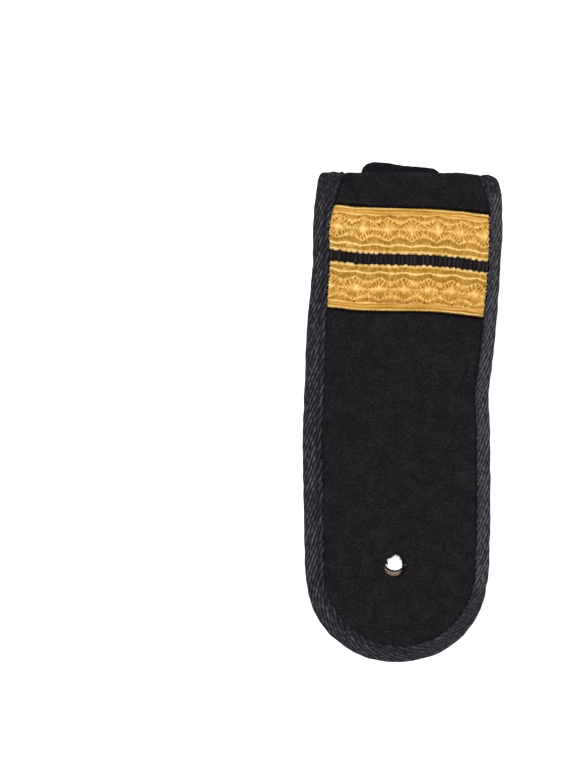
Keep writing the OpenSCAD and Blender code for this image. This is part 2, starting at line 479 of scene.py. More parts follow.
def woolMaterial(name, look):
    mat, tree, shader, coords = newMaterial(name, 0.95, 0.08)
    nap = addNode(tree, "ShaderNodeGroup", (-1100, 0), {"Vector": coords, "Fibre": look["fibre"], "Clump": look["clump"],
                                                        "Fleck": look["fleck"]}, node_tree=woolNap).outputs
    fine = mathNode(tree, "MULTIPLY", nap["Nap"], look["fine"], (-850, 150))
    coarse = mathNode(tree, "MULTIPLY", nap["Clumps"], 1 - look["fine"], (-850, 0))
    mixed = mathNode(tree, "ADD", fine, coarse, (-650, 100))
    colour = rampNode(tree, mixed, look["stops"], (-450, 150))
    colour = mixColour(tree, nap["Flecks"], colour, look["fleckColour"], (-150, 200))
    # painted shade: a dark brown-black mixed in by the mask, for the shadow beside the braid and along the tape's inner
    # edge, and a darker ring beside the hole
    if "pressed" in look:
        colour = mixColour(tree, maskNode(tree, "pressed", (-450, 400)), colour, look["pressed"], (50, 250))
    tree.links.new(colour, shader.inputs["Base Color"])
    bumpNode(tree, shader, mixed, 0.7, 0.00018, (50, -250))
    return mat


def ribbedMaterial(name, look):
    # threads with a twist: colour goes by the baked relief and the strands; the relief's hollows hold painted shade and
    # its tops painted highlight, and the strands' twist and the threads' rounded backs are painted as light and shade
    mat, tree, shader, coords = newMaterial(name, look["rough"], look["specular"])
    relief, across, along, quiet = (maskNode(tree, key, (-1300, y)) for key, y in
                                    (("relief", 300), ("across", 150), ("along", -200), ("quiet", -350)))
    twist = addNode(tree, "ShaderNodeGroup", (-1000, -50), {"Across": across, "Along": along, "Strand": look["strand"],
                                                            "Slant": look["slant"]}, node_tree=threadTwist).outputs
    mottle = noiseNode(tree, (-1000, -450), Vector=coords, Scale=look["mottle"], Detail=4.0)
    loud = mathNode(tree, "SUBTRACT", 1.0, quiet, (-1100, -300))
    strandsSeen = mathNode(tree, "MULTIPLY", twist["Strands"], loud, (-850, -150))
    roundsSeen = mathNode(tree, "MULTIPLY", twist["Round"], loud, (-850, -300))
    total = relief
    for i, (seen, amount) in enumerate(((twist["Strands"], look["strandTone"]), (roundsSeen, look["roundTone"]),
                                        (mottle, look["mottleTone"]))):
        total = mathNode(tree, "ADD", total, mathNode(tree, "MULTIPLY", seen, amount, (-750, -50 - 150 * i)),
                         (-550 + 150 * i, 150 - 50 * i))
    middle = look["strandTone"] * 0.6 + look["roundTone"] * 0.7 + look["mottleTone"] * 0.5
    total = mathNode(tree, "SUBTRACT", total, middle, (-100, 50))
    colour = rampNode(tree, total, look["stops"], (0, 300))
    if "tints" in look:
        tint = rampNode(tree, maskNode(tree, "tint", (-250, 550)), look["tints"], (0, 550))
        colour = mixColour(tree, 1.0, colour, tint, (300, 400), "MULTIPLY")
    tree.links.new(colour, shader.inputs["Base Color"])
    height = mathNode(tree, "ADD", mathNode(tree, "MULTIPLY", strandsSeen, look["strandBump"], (-550, -250)),
                      mathNode(tree, "MULTIPLY", roundsSeen, look["roundBump"], (-550, -400)), (-350, -300))
    bumpNode(tree, shader, height, look["bump"], look["depth"], (0, -250))
    return mat


def grainMaterial(name, stops, noise, rough, specular, depth):
    mat, tree, shader, coords = newMaterial(name, rough, specular)
    grain = noiseNode(tree, (-650, 0), Vector=coords, **noise)
    tree.links.new(rampNode(tree, grain, stops, (-350, 100)), shader.inputs["Base Color"])
    bumpNode(tree, shader, grain, 0.5, depth, (0, -200))
    return mat


def threadMaterial(name, dark, light, rough):
    stops = seenRamp((0.35, *dark), (0.65, *light))
    return grainMaterial(name, stops, {"Scale": 5200.0, "Detail": 3.0}, rough, 0.15, 0.00005)


coverLook = {
    "fibre": 2100.0, "clump": 260.0, "fleck": 1500.0, "fine": 0.75,
    "stops": seenRamp((0.36, 24, 22, 25, 0.004), (0.5, 36, 34, 37, 0.004), (0.66, 54, 52, 55, 0.004)),
    # the last colour is the painted shadow beside the braid and along the tape's inner edge, also used for the darker
    # ring beside the hole
    "fleckColour": asSeen(64, 62, 64), "pressed": asSeen(20, 15, 13, 0.003),
}
strapLook = {
    "fibre": 2600.0, "clump": 400.0, "fleck": 1400.0, "fine": 0.7,
    "stops": seenRamp((0.36, 24, 22, 27, 0.004), (0.5, 33, 31, 36, 0.004), (0.66, 46, 44, 50, 0.004)),
    "fleckColour": asSeen(56, 56, 60),
}
# the ribbed looks' ramps run from painted shade in the hollows, through the threads' own colour, to painted highlight
# on the tops
tapeLook = {
    "strand": 0.5, "slant": 1.6, "strandTone": 0.26, "roundTone": 0.0, "mottle": 1400.0, "mottleTone": 0.6,
    "stops": seenRamp((0.0, 20, 19, 23, 0.004), (0.3, 40, 38, 44, 0.004), (0.6, 66, 64, 71, 0.004), (0.9, 96, 94, 101)),
    "rough": 0.8, "specular": 0.12, "strandBump": 1.0, "roundBump": 0.0, "bump": 0.7, "depth": 0.00009,
}
goldLook = {
    "strand": 0.36, "slant": 0.6, "strandTone": 0.04, "roundTone": 0.06, "mottle": 1100.0, "mottleTone": 0.16,
    "stops": seenRamp((0.0, 150, 103, 18), (0.225, 179, 131, 42), (0.475, 209, 158, 68), (0.725, 246, 191, 101),
                      (1.0, 268, 228, 142)),
    "tints": [(0.0, (0.93, 1.04, 1.45, 1)), (0.2, (1.0, 1.025, 1.12, 1)), (0.5, (1, 1, 1, 1)),
              (1.0, (1.02, 0.955, 0.88, 1))],
    "rough": 0.6, "specular": 0.12, "strandBump": 0.3, "roundBump": 1.0, "bump": 0.5, "depth": 0.00006,
}
blackRibLook = {
    "strand": 0.3, "slant": 0.0, "strandTone": 0.2, "roundTone": 0.1, "mottle": 700.0, "mottleTone": 0.2,
    # the darkest, brown stop is painted shadow, for the rib's edges beside the gold
    "stops": seenRamp((0.0, 14, 7, 4, 0.002), (0.35, 28, 22, 20, 0.002), (0.7, 46, 41, 46, 0.002),
                      (1.0, 64, 60, 68, 0.002)),
    "rough": 0.8, "specular": 0.1, "strandBump": 1.0, "roundBump": 0.4, "bump": 0.6, "depth": 0.00006,
}

woolCover = woolMaterial("milledWool", coverLook)
woolStrap = woolMaterial("strapWool", strapLook)
twillTape = ribbedMaterial("twillTape", tapeLook)
goldBraid = ribbedMaterial("goldBraid", goldLook)
blackRib = ribbedMaterial("blackCordedRib", blackRibLook)
card = grainMaterial("pulpCard", seenRamp((0.3, 92, 78, 66), (0.52, 144, 127, 109), (0.75, 200, 180, 164)),
                     {"Scale": 2600.0, "Detail": 6.0, "Roughness": 0.7}, 0.9, 0.5, 0.0001)
darkThread = threadMaterial("bindingThread", (26, 25, 29), (52, 50, 56), 0.7)
goldThread = threadMaterial("goldThread", (206, 148, 74), (240, 184, 110), 0.5)
paleGold = threadMaterial("paleGoldThread", (214, 170, 100), (255, 232, 176), 0.5)
fibreWool = threadMaterial("looseWool", (30, 29, 32), (60, 58, 62), 0.95)
lintThread = threadMaterial("paleLint", (84, 83, 84), (158, 158, 154), 0.95)
print("board: outline and materials ready")

# camera, straight above as in the photograph, and its light; sizes in millimetres, angles in degrees
shot = {
    "frameHeight": 208.2, "centre": (-28.88, 5.36), "atHeight": 4.3, "lens": 150.0, "sensor": 36,
    "overheadShare": 0.7, "overheadAngle": 30.0, "overheadLean": (-5, -4), "glow": 0.6,
}


def makeShot():
    scene = bpy.context.scene
    data = bpy.data.cameras.new("photoCamera")
    data.sensor_width = shot["sensor"]
    data.lens = shot["lens"]
    data.clip_start, data.clip_end = 0.01, 20
    cam = bpy.data.objects.new("photoCamera", data)
    scene.collection.objects.link(cam)
    away = shot["frameHeight"] * shot["lens"] / shot["sensor"]
    cam.location = (shot["centre"][0] * mm, shot["centre"][1] * mm, (away + shot["atHeight"]) * mm)
    scene.camera = cam
    scene.view_settings.view_transform = "Standard"
    world = bpy.data.worlds.new("softRoom")
    world.use_nodes = True
    back = world.node_tree.nodes["Background"]
    back.inputs["Color"].default_value = (1, 1, 1, 1)
    back.inputs["Strength"].default_value = lightLevel * (1 - shot["overheadShare"])
    scene.world = world
    sun = bpy.data.lights.new("overhead", "SUN")
    sun.energy = math.pi * lightLevel * shot["overheadShare"]
    sun.angle = math.radians(shot["overheadAngle"])
    lamp = bpy.data.objects.new("overhead", sun)
    lamp.rotation_euler = (*np.radians(shot["overheadLean"]), 0)
    lamp.location = (0, 0, 1)
    scene.collection.objects.link(lamp)
    deselect()
    bpy.ops.mesh.primitive_plane_add(size=6)
    floor = bpy.context.object
    floor.name = "floor"
    mat, tree, shader, coords = newMaterial("paleFloor", 1.0, 0.0)
    haze = noiseNode(tree, (-650, 0), Vector=coords, Scale=8.0)
    colour = rampNode(tree, haze, [(0, (0.93, 0.93, 0.93, 1)), (1, (0.95, 0.95, 0.95, 1))], (-350, 0))
    tree.links.new(colour, shader.inputs["Base Color"])
    shader.inputs["Emission Color"].default_value = (1, 1, 1, 1)
    shader.inputs["Emission Strength"].default_value = shot["glow"]
    floor.data.materials.append(mat)


makeShot()
print("camera, light and floor")

# the binding: one tape swept round the edge, its ribs raised on a fine grid
tape = {
    "thick": 1.0, "roll": 1.4, "low": 0.0, "high": 5.4, "step": 0.34, "cell": 0.175, "wallCell": 0.22,
    "ribPitch": 0.9, "ribLean": 22.0, "ribHigh": 0.26, "ribFull": 0.96, "knot": 2.3, "knotHigh": 0.05,
    "crown": 0.42, "seam": 1.42, "seamWide": 0.3, "seamDeep": 0.14, "tooth": 2.9, "wander": 0.12,
    # where its outer and inner edges end along the fold, and the row of the board where each corner starts
    "endX": (-15.49, 20.365), "lipEndX": (-15.85, 20.365), "endY": 62.05, "turnRow": -2,
    # neither edge runs quite true: amount, size, seed; and the pull of the stitches: amount, pitch
    "outerUneven": (0.09, 6.5, 61), "lipUneven": (0.10, 4.6, 62), "lipPull": (0.07, 2.45), "calmRun": 6,
    "cutSoft": 0.8, "cutHigh": 0.62,
    # its inner edge in section: share of the way to the roll, depth
    "lipEdge": [(0.0, 0.92), (0.0, 0.5), (0.008, 0.18)],
    # X, Y, reach, height: the turned-in ends and the bumps of the corners
    "lumps": [
        (-15.75, 63.65, 0.75, 0.42), (-18.3, 63.65, 1.0, 0.34), (-21.4, 63.65, 0.8, 0.15),
        (20.4, 63.65, 1.9, -0.74), (24.9, 61.5, 1.9, 0.34),
    ],
    # angle round the end, outer edge out, inner edge in
    "swell": [
        (180, 0.0, 0.28), (189, -0.2, 0.26), (200, 0.1, 0.26), (213, 0.3, 0.35), (225, 0.25, 0.4),
        (240, 0.2, 0.35), (258, 0.2, 0.2), (270, 0.06, 0.1), (283, 0.08, 0.0), (298, 0.27, -0.1),
        (309, 0.34, 0.0), (322, 0.28, 0.0), (335, 0.12, 0.1), (349, -0.2, 0.1), (360, 0.0, 0.0),
    ],
    # tones: the ribs, painted shade on the strip of teeth on the round end and on the side, painted shade on the wall
    # on the sewn side, the worn corners from and to this far below the fold
    "ribTone": 0.83, "stripShade": (0.28, 0.16), "wallShade": 0.24, "worn": (7.5, 4.5),
}


def tapeStations():
    # the tape's outer edge, its outward direction, its inner edge, side, zone and run, station for station
    zones = {"corner": 2, "side": 1, "end": 0}
    rl, rr = board["cornerLeft"], board["cornerRight"]
    xl, xr = leftX(foldY), rightX(foldY)
    yTurn = rowY[tape["turnRow"]]

    def alongEdge(edge, first, last, count):
        y = np.linspace(first, last, count)
        return np.column_stack([edge(y), y])

    def alongFold(first, last, count):
        return np.column_stack([np.linspace(first, last, count), np.full(count, foldY)])

    runs = [
        ("corner", -1, alongFold(tape["endX"][0], xl + rl, 40)),
        ("corner", -1, arcPoints(xl + rl, foldY - rl, rl, 90, 180, 0.05)),
        ("corner", -1, alongEdge(leftX, foldY - rl, yTurn, 60)),
        ("side", -1, alongEdge(leftX, yTurn, midY, 900)),
        ("end", 0, arcPoints(endX, midY, endR, 180, 360, 0.1)),
        ("side", 1, alongEdge(rightX, midY, yTurn, 900)),
        ("corner", 1, alongEdge(rightX, yTurn, foldY - rr, 40)),
        ("corner", 1, arcPoints(xr - rr, foldY - rr, rr, 0, 90, 0.05)),
        ("corner", 1, alongFold(xr - rr, tape["endX"][1], 6)),
    ]
    path = np.vstack([points for kind, where, points in runs])
    side = np.concatenate([np.full(len(points), where) for kind, where, points in runs])
    zone = np.concatenate([np.full(len(points), zones[kind]) for kind, where, points in runs])
    keep = np.r_[True, np.linalg.norm(np.diff(path, axis=0), axis=1) > 1e-6]
    path, side, zone = path[keep], side[keep], zone[keep]
    run = np.r_[0, np.cumsum(np.linalg.norm(np.diff(path, axis=0), axis=1))]
    s = np.linspace(0, run[-1], int(run[-1] / tape["step"]) + 1)
    outer = np.column_stack([np.interp(s, run, path[:, 0]), np.interp(s, run, path[:, 1])])
    at = np.clip(np.searchsorted(run, s - 1e-9), 0, len(run) - 1)
    side, zone = side[at], zone[at]
    t = np.gradient(outer, axis=0)
    t /= np.linalg.norm(t, axis=1, keepdims=True)
    out = np.column_stack([t[:, 1], -t[:, 0]])
    # the inner edge on the face, station for station
    a = np.arctan2(outer[:, 1] - midY, outer[:, 0] - endX)
    lip = np.column_stack([lipMiddleX + lipRadius * np.cos(a), midY + lipRadius * np.sin(a)])
    for where, stopX in zip((-1, 1), tape["lipEndX"]):
        m = (zone == zones["side"]) & (side == where)
        lip[m, 1] = outer[m, 1]
        lip[m, 0] = lipLineX(outer[m, 1], where)
        m = (zone == zones["corner"]) & (side == where)
        total = np.ptp(s[m])
        q = np.abs(s[m] - (s[m].max() if where < 0 else s[m].min())) / total
        start = np.array([lipLineX(yTurn, where), yTurn])
        stop = np.array([stopX, tape["endY"]])
        g = 1 - (1 - q) ** (total / np.linalg.norm(stop - start))
        lip[m] = start + (stop - start) * g[:, None]
    return outer, out, lip, side, zone, s


def tapeSection():
    # points round the tape's section: share of the way from lip to roll or None, inset, height,
    # and where: -1 face, 0 wall, 1 back, 2 inside
    roll, high, low, thick, cell = tape["roll"], tape["high"], tape["low"], tape["thick"], tape["cell"]
    nFlat = int((board["lipLeft"] - roll) / cell)
    nRoll = int(roll * math.pi / 2 / cell)
    wall = (high - roll) - (low + roll)
    nWall = int(wall / tape["wallCell"])
    quarter = [math.pi / 2 * i / nRoll for i in range(nRoll)]
    points = [(share, None, high - deep, -1) for share, deep in tape["lipEdge"]]
    points += [(0.03 + 0.97 * i / nFlat, None, high, -1) for i in range(nFlat)]
    points += [(None, roll * (1 - math.sin(a)), high - roll * (1 - math.cos(a)), -1) for a in quarter]
    points += [(None, 0.0, high - roll - wall * i / nWall, 0) for i in range(nWall)]
    points += [(None, roll * (1 - math.cos(a)), low + roll * (1 - math.sin(a)), 1) for a in quarter]
    points += [(1 - 0.97 * i / nFlat, None, low, 1) for i in range(nFlat + 1)]
    points += [(share, None, low + deep, 1) for share, deep in tape["lipEdge"][::-1]]
    outside = len(points)
    points += [(0.5, None, low + 0.94, 2), (None, roll - 0.1, low + 0.96, 2), (None, thick, low + 1.3, 2),
               (None, thick, high - 1.3, 2), (None, roll - 0.1, high - 0.96, 2), (0.5, None, high - 0.94, 2)]
    return points, outside


def layTape(outer, out, lip, zone, s, section):
    # the tape's points, section by station, before its ribs, and how far each lies from the inner edge
    toEnd = np.minimum(s, s[-1] - s)
    calmEnds = np.clip(toEnd / tape["calmRun"], 0, 1)
    outer = outer + out * (uneven(tape["outerUneven"], s) * calmEnds)[:, None]
    for atX, atY, reach, high in tape["lumps"]:
        lump = high * np.exp(-((outer[:, 0] - atX) ** 2 + (outer[:, 1] - atY) ** 2) / reach**2)
        outer = outer + out * lump[:, None]
    turned = np.degrees(np.mod(np.arctan2(outer[:, 1] - midY, outer[:, 0] - endX), 2 * math.pi))
    angles, outward, inward = zip(*tape["swell"])
    onEnd = (zone == 0)[:, None]
    outer = outer + out * smoothLine(angles, outward)(turned)[:, None] * onEnd
    lip = lip - out * smoothLine(angles, inward)(turned)[:, None] * onEnd
    pull, pitch = tape["lipPull"]
    lip = lip + out * ((uneven(tape["lipUneven"], s) + pull * np.cos(2 * math.pi * s / pitch)) * calmEnds)[:, None]
    rollStart = outer - out * tape["roll"]
    p = np.empty((len(section) + 1, len(outer), 3))
    crown = np.zeros(p.shape[:2])
    for j, (share, inset, z, where) in enumerate(section + section[:1]):
        if share is None:
            p[j, :, :2] = outer - out * inset
        else:
            p[j, :, :2] = lip + (rollStart - lip) * share
            if where != 2:
                crown[j] = (1 - share) ** 2
        p[j, :, 2] = z
    fromLip = np.linalg.norm(p[:, :, :2] - lip[None], axis=2)
    # lower towards its inner edge, on both sides of the board
    onFace = np.array([x[3] == -1 for x in section] + [True])
    p[:, :, 2] += tape["crown"] * crown * np.where(onFace, -1, 1)[:, None]
    # its two cut ends are soft
    low = tape["cutHigh"]
    squash = low + (1 - low) * np.sqrt(1 - (1 - np.clip(toEnd / tape["cutSoft"], 0, 1)) ** 2)
    middle = p.mean(0)
    return outer, middle + (p - middle) * squash[None, :, None], fromLip


def unrollTape(outer, out, side, p, section, outside):
    # the tape laid flat: X and Y of every point, distance from the middle of the wall, run along the
    # tape, distance out from the board's edge, and angle round the end
    steps = np.linalg.norm(np.diff(p[:outside], axis=0), axis=2)
    across = np.vstack([np.zeros((1, p.shape[1])), np.cumsum(steps, axis=0)])
    wall = [i for i, x in enumerate(section) if x[3] == 0]
    fromWall = np.zeros(p.shape[:2])
    fromWall[:outside] = across - across[wall[len(wall) // 2]]
    flat = outer[None] + out[None] * fromWall[:, :, None]
    excess = tape["roll"] * (math.pi / 2 - 1) + (tape["high"] - tape["low"]) / 2 - tape["roll"]
    for j, (share, inset, z, where) in enumerate(section):
        if share is not None and where == -1:
            flat[j] = p[j, :, :2] - out * excess
    x, y = flat[:, :, 0], flat[:, :, 1]
    rMid = endR - board["lipLeft"] / 2
    angle = np.mod(np.arctan2(y - midY, x - endX), 2 * math.pi)
    run = np.where(side == -1, -(y - midY),
                   np.where(side == 1, math.pi * rMid + (y - midY), (angle - math.pi) * rMid))
    away = np.where(side == -1, leftX(y) - x,
                    np.where(side == 1, x - rightX(y), np.hypot(x - endX, y - midY) - endR))
    return x, y, np.abs(fromWall), run, away, np.degrees(angle)


def makeBinding():
    outer, out, lip, side, zone, s = tapeStations()
    section, outside = tapeSection()
    outer, p, fromLip = layTape(outer, out, lip, zone, s, section)
    x, y, fromWall, run, away, degrees = unrollTape(outer, out, side, p, section, outside)
    # leaning ribs, each with its own tone and with knots along it
    lean = math.radians(tape["ribLean"])
    wave = tape["wander"] * np.sin(run / 5.3) * np.sin(run / 2.1 + 1.3)
    phase = (away * math.cos(lean) - run * math.sin(lean) + wave) / tape["ribPitch"]
    along = run * math.cos(lean) + away * math.sin(lean)
    index = np.round(phase)
    frac = phase - index
    rib = threadRise(frac, tape["ribFull"])
    ownTone = weaveNoise(phase + 0.5, along + 300, 1.0, 1.7, 65)
    knots = 0.5 + 0.5 * np.cos(2 * math.pi * (along / tape["knot"] + frac * 0.55 + index * 0.37 + 0.3 * ownTone))
    # sewn down along a line near the inner edge on the left, which leaves a row of teeth inside it
    onEnd = zone == 0
    sewn = np.where(onEnd, smoothStep(degrees, 305, 250), (side < 0) * 1.0)
    right = np.where(onEnd, smoothStep(degrees, 335, 358), (side > 0) * 1.0)
    calmRound = (0.25 * smoothStep(degrees, 190, 225)
                 + 0.4 * smoothStep(degrees, 270, 300) * smoothStep(degrees, 362, 340))
    calm = np.where(onEnd, calmRound, 0.6 * right * smoothStep(fromLip, 2.3, 1.4))
    groove = sewn * bell(fromLip, tape["seam"], tape["seamWide"])
    strip = sewn * smoothStep(fromLip, tape["seam"] + 0.1, tape["seam"] - 0.15)
    teeth = (run + uneven((0.7, 5.0, 67), run)) / tape["tooth"] - fromLip * 0.8
    tooth = threadRise(teeth - np.round(teeth), tape["ribFull"])
    rib = rib * (1 - strip) + tooth * strip
    knots = knots * (1 - strip) + 0.6 * strip
    height = tape["ribHigh"] * (rib - 1) + tape["knotHigh"] * knots * rib
    height += 0.04 * ownTone * rib - tape["seamDeep"] * groove
    height *= 1 - 0.65 * smoothStep(fromWall, 2.6, 1.2)
    raised = np.zeros(len(p))
    raised[1:outside - 1] = 1
    normals = gridNormals(p)
    if normals[len(section) // 4, len(outer) // 2, 2] < 0:
        normals = -normals
    p += normals * (height * raised[:, None])[:, :, None]
    # painted shade round the roll, at the inner edge, in the seam, on the strip of teeth and on the wall of the sewn
    # side;
    # painted light on the right; uneven where the ends are turned in
    shade = (0.5 + 0.5 * smoothStep(fromLip, 0.0, 0.3)) * (1 - 0.35 * smoothStep(fromWall, tape["roll"] * 1.5, 0.8))
    shade = shade * (1 - 0.4 * groove) * (1 - strip * np.where(onEnd, *tape["stripShade"]))
    shade = shade * (1 + right * (0.22 + 0.3 * bell(fromLip, 1.6, 0.8)))
    shade = shade * (1 - tape["wallShade"] * sewn * smoothStep(fromWall, 3.6, 1.8))
    blotch = 0.5 + uneven((0.5, 1.7, 63), run / 1.3, away)
    # the ribs' tops and knots are painted lighter than the hollows between them, as shade of the ribs
    strokes = rib ** 3 * (0.55 + 0.45 * knots) * (1 + 0.3 * ownTone)
    strokes = strokes * (1 - calm) + calm * (0.45 + uneven((0.3, 1.2, 66), run, away * 1.5))
    tone = 0.02 + (tape["ribTone"] * strokes * (0.85 + 0.2 * blotch) + 0.06 * blotch) * shade
    worn = smoothStep(y, foldY - tape["worn"][0], foldY - tape["worn"][1])
    tone = tone * (1 - worn) + worn * (0.34 + uneven((0.22, 1.3, 64), x, y))
    tone[outside:] = 0.1
    obj = gridPiece("twillBinding", p)
    setMasks(obj, relief=np.clip(tone, 0, 1), across=phase, along=along)
    mergePoints(obj, 1e-6)
    fillOpenings(obj)
    restOnFloor(obj)
    return finishPiece(obj, 80, twillTape, "twill_tape", "edge_binding")


binding = makeBinding()
print("binding:", len(binding.data.polygons), "faces")

# the braid: two gold bars of woven threads, a mirror image of each other about the rib
braid = {
    "base": 4.42, "high": 0.92, "step": 0.1, "across": 0.09, "width": 12.32, "inner": 1.26, "length": 41.6,
    "lipGap": (0.3, 0.25),
    # X, middle of the rib, reach to the upper bar's outer edge, reach to the lower bar's
    "course": [
        (-20.0, 41.85, 13.50, 13.93),
        (-17.73, 41.58, 13.52, 13.93),
        (-11.35, 40.80, 13.72, 13.78),
        (-4.98, 40.58, 13.68, 13.70),
        (1.39, 40.42, 13.70, 13.63),
        (7.77, 40.22, 13.72, 13.60),
        (14.14, 39.65, 13.80, 13.60),
        (20.52, 38.75, 13.95, 13.50),
        (24.0, 38.20, 13.95, 13.50),
    ],
    # side of the rib, column of the course, how faint the strokes over the stars are, tone taken off, seeds,
    # the stars' places, and the holes of the running stitch
    "upper": {
        "sign": 1, "column": 2, "faint": 0.0, "darker": 0.02, "seeds": (3, 21, 36),
        "stars": [-24.8, -18.1, -11.2, -4.1, 2.25, 8.65, 14.45, 20.6, 26.8], "holes": [-3.68, 4.58],
    },
    "lower": {
        "sign": -1, "column": 3, "faint": 0.62, "darker": 0.055, "seeds": (4, 22, 37),
        "stars": [-25.2, -18.7, -12.2, -6.0, 0.35, 7.3, 13.7, 20.4, 27.0],
        "holes": [-11.9, -3.9, -1.26, 1.39, 6.17, 14.4, 18.3],
    },
    "stitchRow": 2.22, "middle": 5.75, "weft": 0.47, "weftRun": 0.7, "selvedge": 2.1, "cordedTo": 1.45,
    "loopFrom": 11.1, "loopPitch": 1.57, "loopReach": 0.5, "skirt": 0.12,
    # place at a star, place between stars, tone at a star, tone between, relief, tint;
    # the tones are the weave's own pattern with painted shade in its low bands, as the dark band near 9.3, and painted
    # highlight on its raised ones
    "bands": [
        (0.00, 0.00, 0.50, 0.50, 0.20, 0.15),
        (0.40, 0.40, 0.90, 0.88, 0.92, 0.10),
        (0.82, 0.82, 0.38, 0.34, 0.45, 0.60),
        (1.25, 1.25, 0.66, 0.62, 0.66, 0.90),
        (1.55, 1.60, 0.54, 0.50, 0.50, 0.90),
        (1.80, 2.02, 0.84, 0.92, 0.95, 0.65),
        (2.12, 2.72, 0.28, 0.34, 0.36, 0.60),
        (2.66, 3.95, 0.72, 0.76, 0.86, 0.45),
        (3.20, 4.62, 0.50, 0.48, 0.60, 0.50),
        (4.60, 5.10, 0.60, 0.54, 0.62, 0.45),
        (5.78, 5.62, 0.78, 0.76, 0.92, 0.35),
        (6.90, 6.15, 0.60, 0.52, 0.66, 0.45),
        (8.10, 6.75, 0.52, 0.50, 0.58, 0.50),
        (8.84, 7.50, 0.76, 0.74, 0.88, 0.40),
        (9.34, 8.30, 0.14, 0.28, 0.34, 0.40),
        (9.72, 9.14, 0.28, 0.36, 0.42, 0.40),
        (10.14, 9.66, 0.94, 0.98, 0.95, 0.30),
        (10.28, 9.84, 0.94, 0.98, 0.95, 0.30),
        (10.68, 10.36, 0.28, 0.38, 0.44, 0.45),
        (11.00, 10.90, 0.26, 0.34, 0.38, 0.50),
        (11.75, 11.75, 0.88, 0.98, 0.88, 0.00),
        (12.32, 12.32, 0.60, 0.60, 0.20, 0.00),
    ],
    # the short strokes round a star, above and below its middle line: share of the way to the next gap,
    # distance from the middle line, half length, half width, lean, darkness
    "strokesAbove": [
        (0.00, 2.62, 0.20, 0.20, 0, 0.28),
        (0.20, 2.16, 0.32, 0.16, 38, 0.32),
        (0.45, 1.74, 0.38, 0.17, 52, 0.34),
        (0.70, 1.30, 0.38, 0.18, 57, 0.34),
        (1.00, 0.86, 0.42, 0.22, 90, 0.30),
    ],
    "strokesBelow": [
        (0.00, 2.42, 0.28, 0.22, 0, 0.40),
        (0.21, 1.74, 0.58, 0.17, 26, 0.38),
        (0.42, 1.24, 0.50, 0.17, 36, 0.37),
        (0.62, 0.86, 0.42, 0.17, 40, 0.35),
        (0.82, 0.58, 0.34, 0.17, 38, 0.30),
        (1.00, 0.42, 0.30, 0.19, 0, 0.28),
    ],
    "floatLong": 0.62, "floatWide": 0.15, "floatOut": 0.26, "floatLight": 0.26,
}
course = np.array(braid["course"])
ribMiddle = smoothLine(course[:, 0], course[:, 1])
reachUpper = smoothLine(course[:, 0], course[:, 2])
reachLower = smoothLine(course[:, 0], course[:, 3])


def ribSlope(u):
    return ribMiddle(u + 0.5) - ribMiddle(u - 0.5)


def braidPlace(u, above):
    # a point that far above the rib's middle line, square to it
    slope = ribSlope(u)
    size = np.sqrt(1 + slope**2)
    return u - above * slope / size, ribMiddle(u) + above / size


# the cover: one cloth laid over the face, round the fold and along the back
cover = {
    "columns": 84, "cell": 0.62, "fine": 0.26, "foldRadius": 1.6, "thick": 0.96,
    "unevenness": 0.05, "pull": 0.08, "pullWidth": 1.2, "ragged": 0.05, "midHeight": 2.7,
    # the fold's own line, X and rise
    "foldDip": [
        (-15.6, -0.1), (-14.9, 0.02), (-12, 0.12), (-5, 0.0), (6, 0.06), (10.4, -0.05), (13.6, 0.1), (16.8, -0.1),
        (18.4, -0.22), (20.5, -0.55),
    ],
    "foldLumps": (0.13, 3.2, 5),
    # finer rows beside the gold bars, from and to, and the groove there
    "grooves": [(24.6, 28.2), (52.3, 56.2)], "groove": 0.28,
    # the dark ring beside the hole: distance, width, strength
    "ring": (2.9, 0.75, 0.75),
}
foldDip = smoothLine(*zip(*cover["foldDip"]))


def coverHalfWidths(y, inFold):
    inset = board["coverIn"]
    chord = np.sqrt(np.maximum((endR - inset) ** 2 - np.minimum(y - midY, 0) ** 2, 0.0004))
    left = np.where(y < midY, endX - chord, leftX(y) + inset)
    right = np.where(y < midY, endX + chord, rightX(y) - inset)
    left = np.where(inFold, tape["endX"][0] - 0.45, left)
    right = np.where(inFold, tape["endX"][1] + 0.45, right)
    return left, right


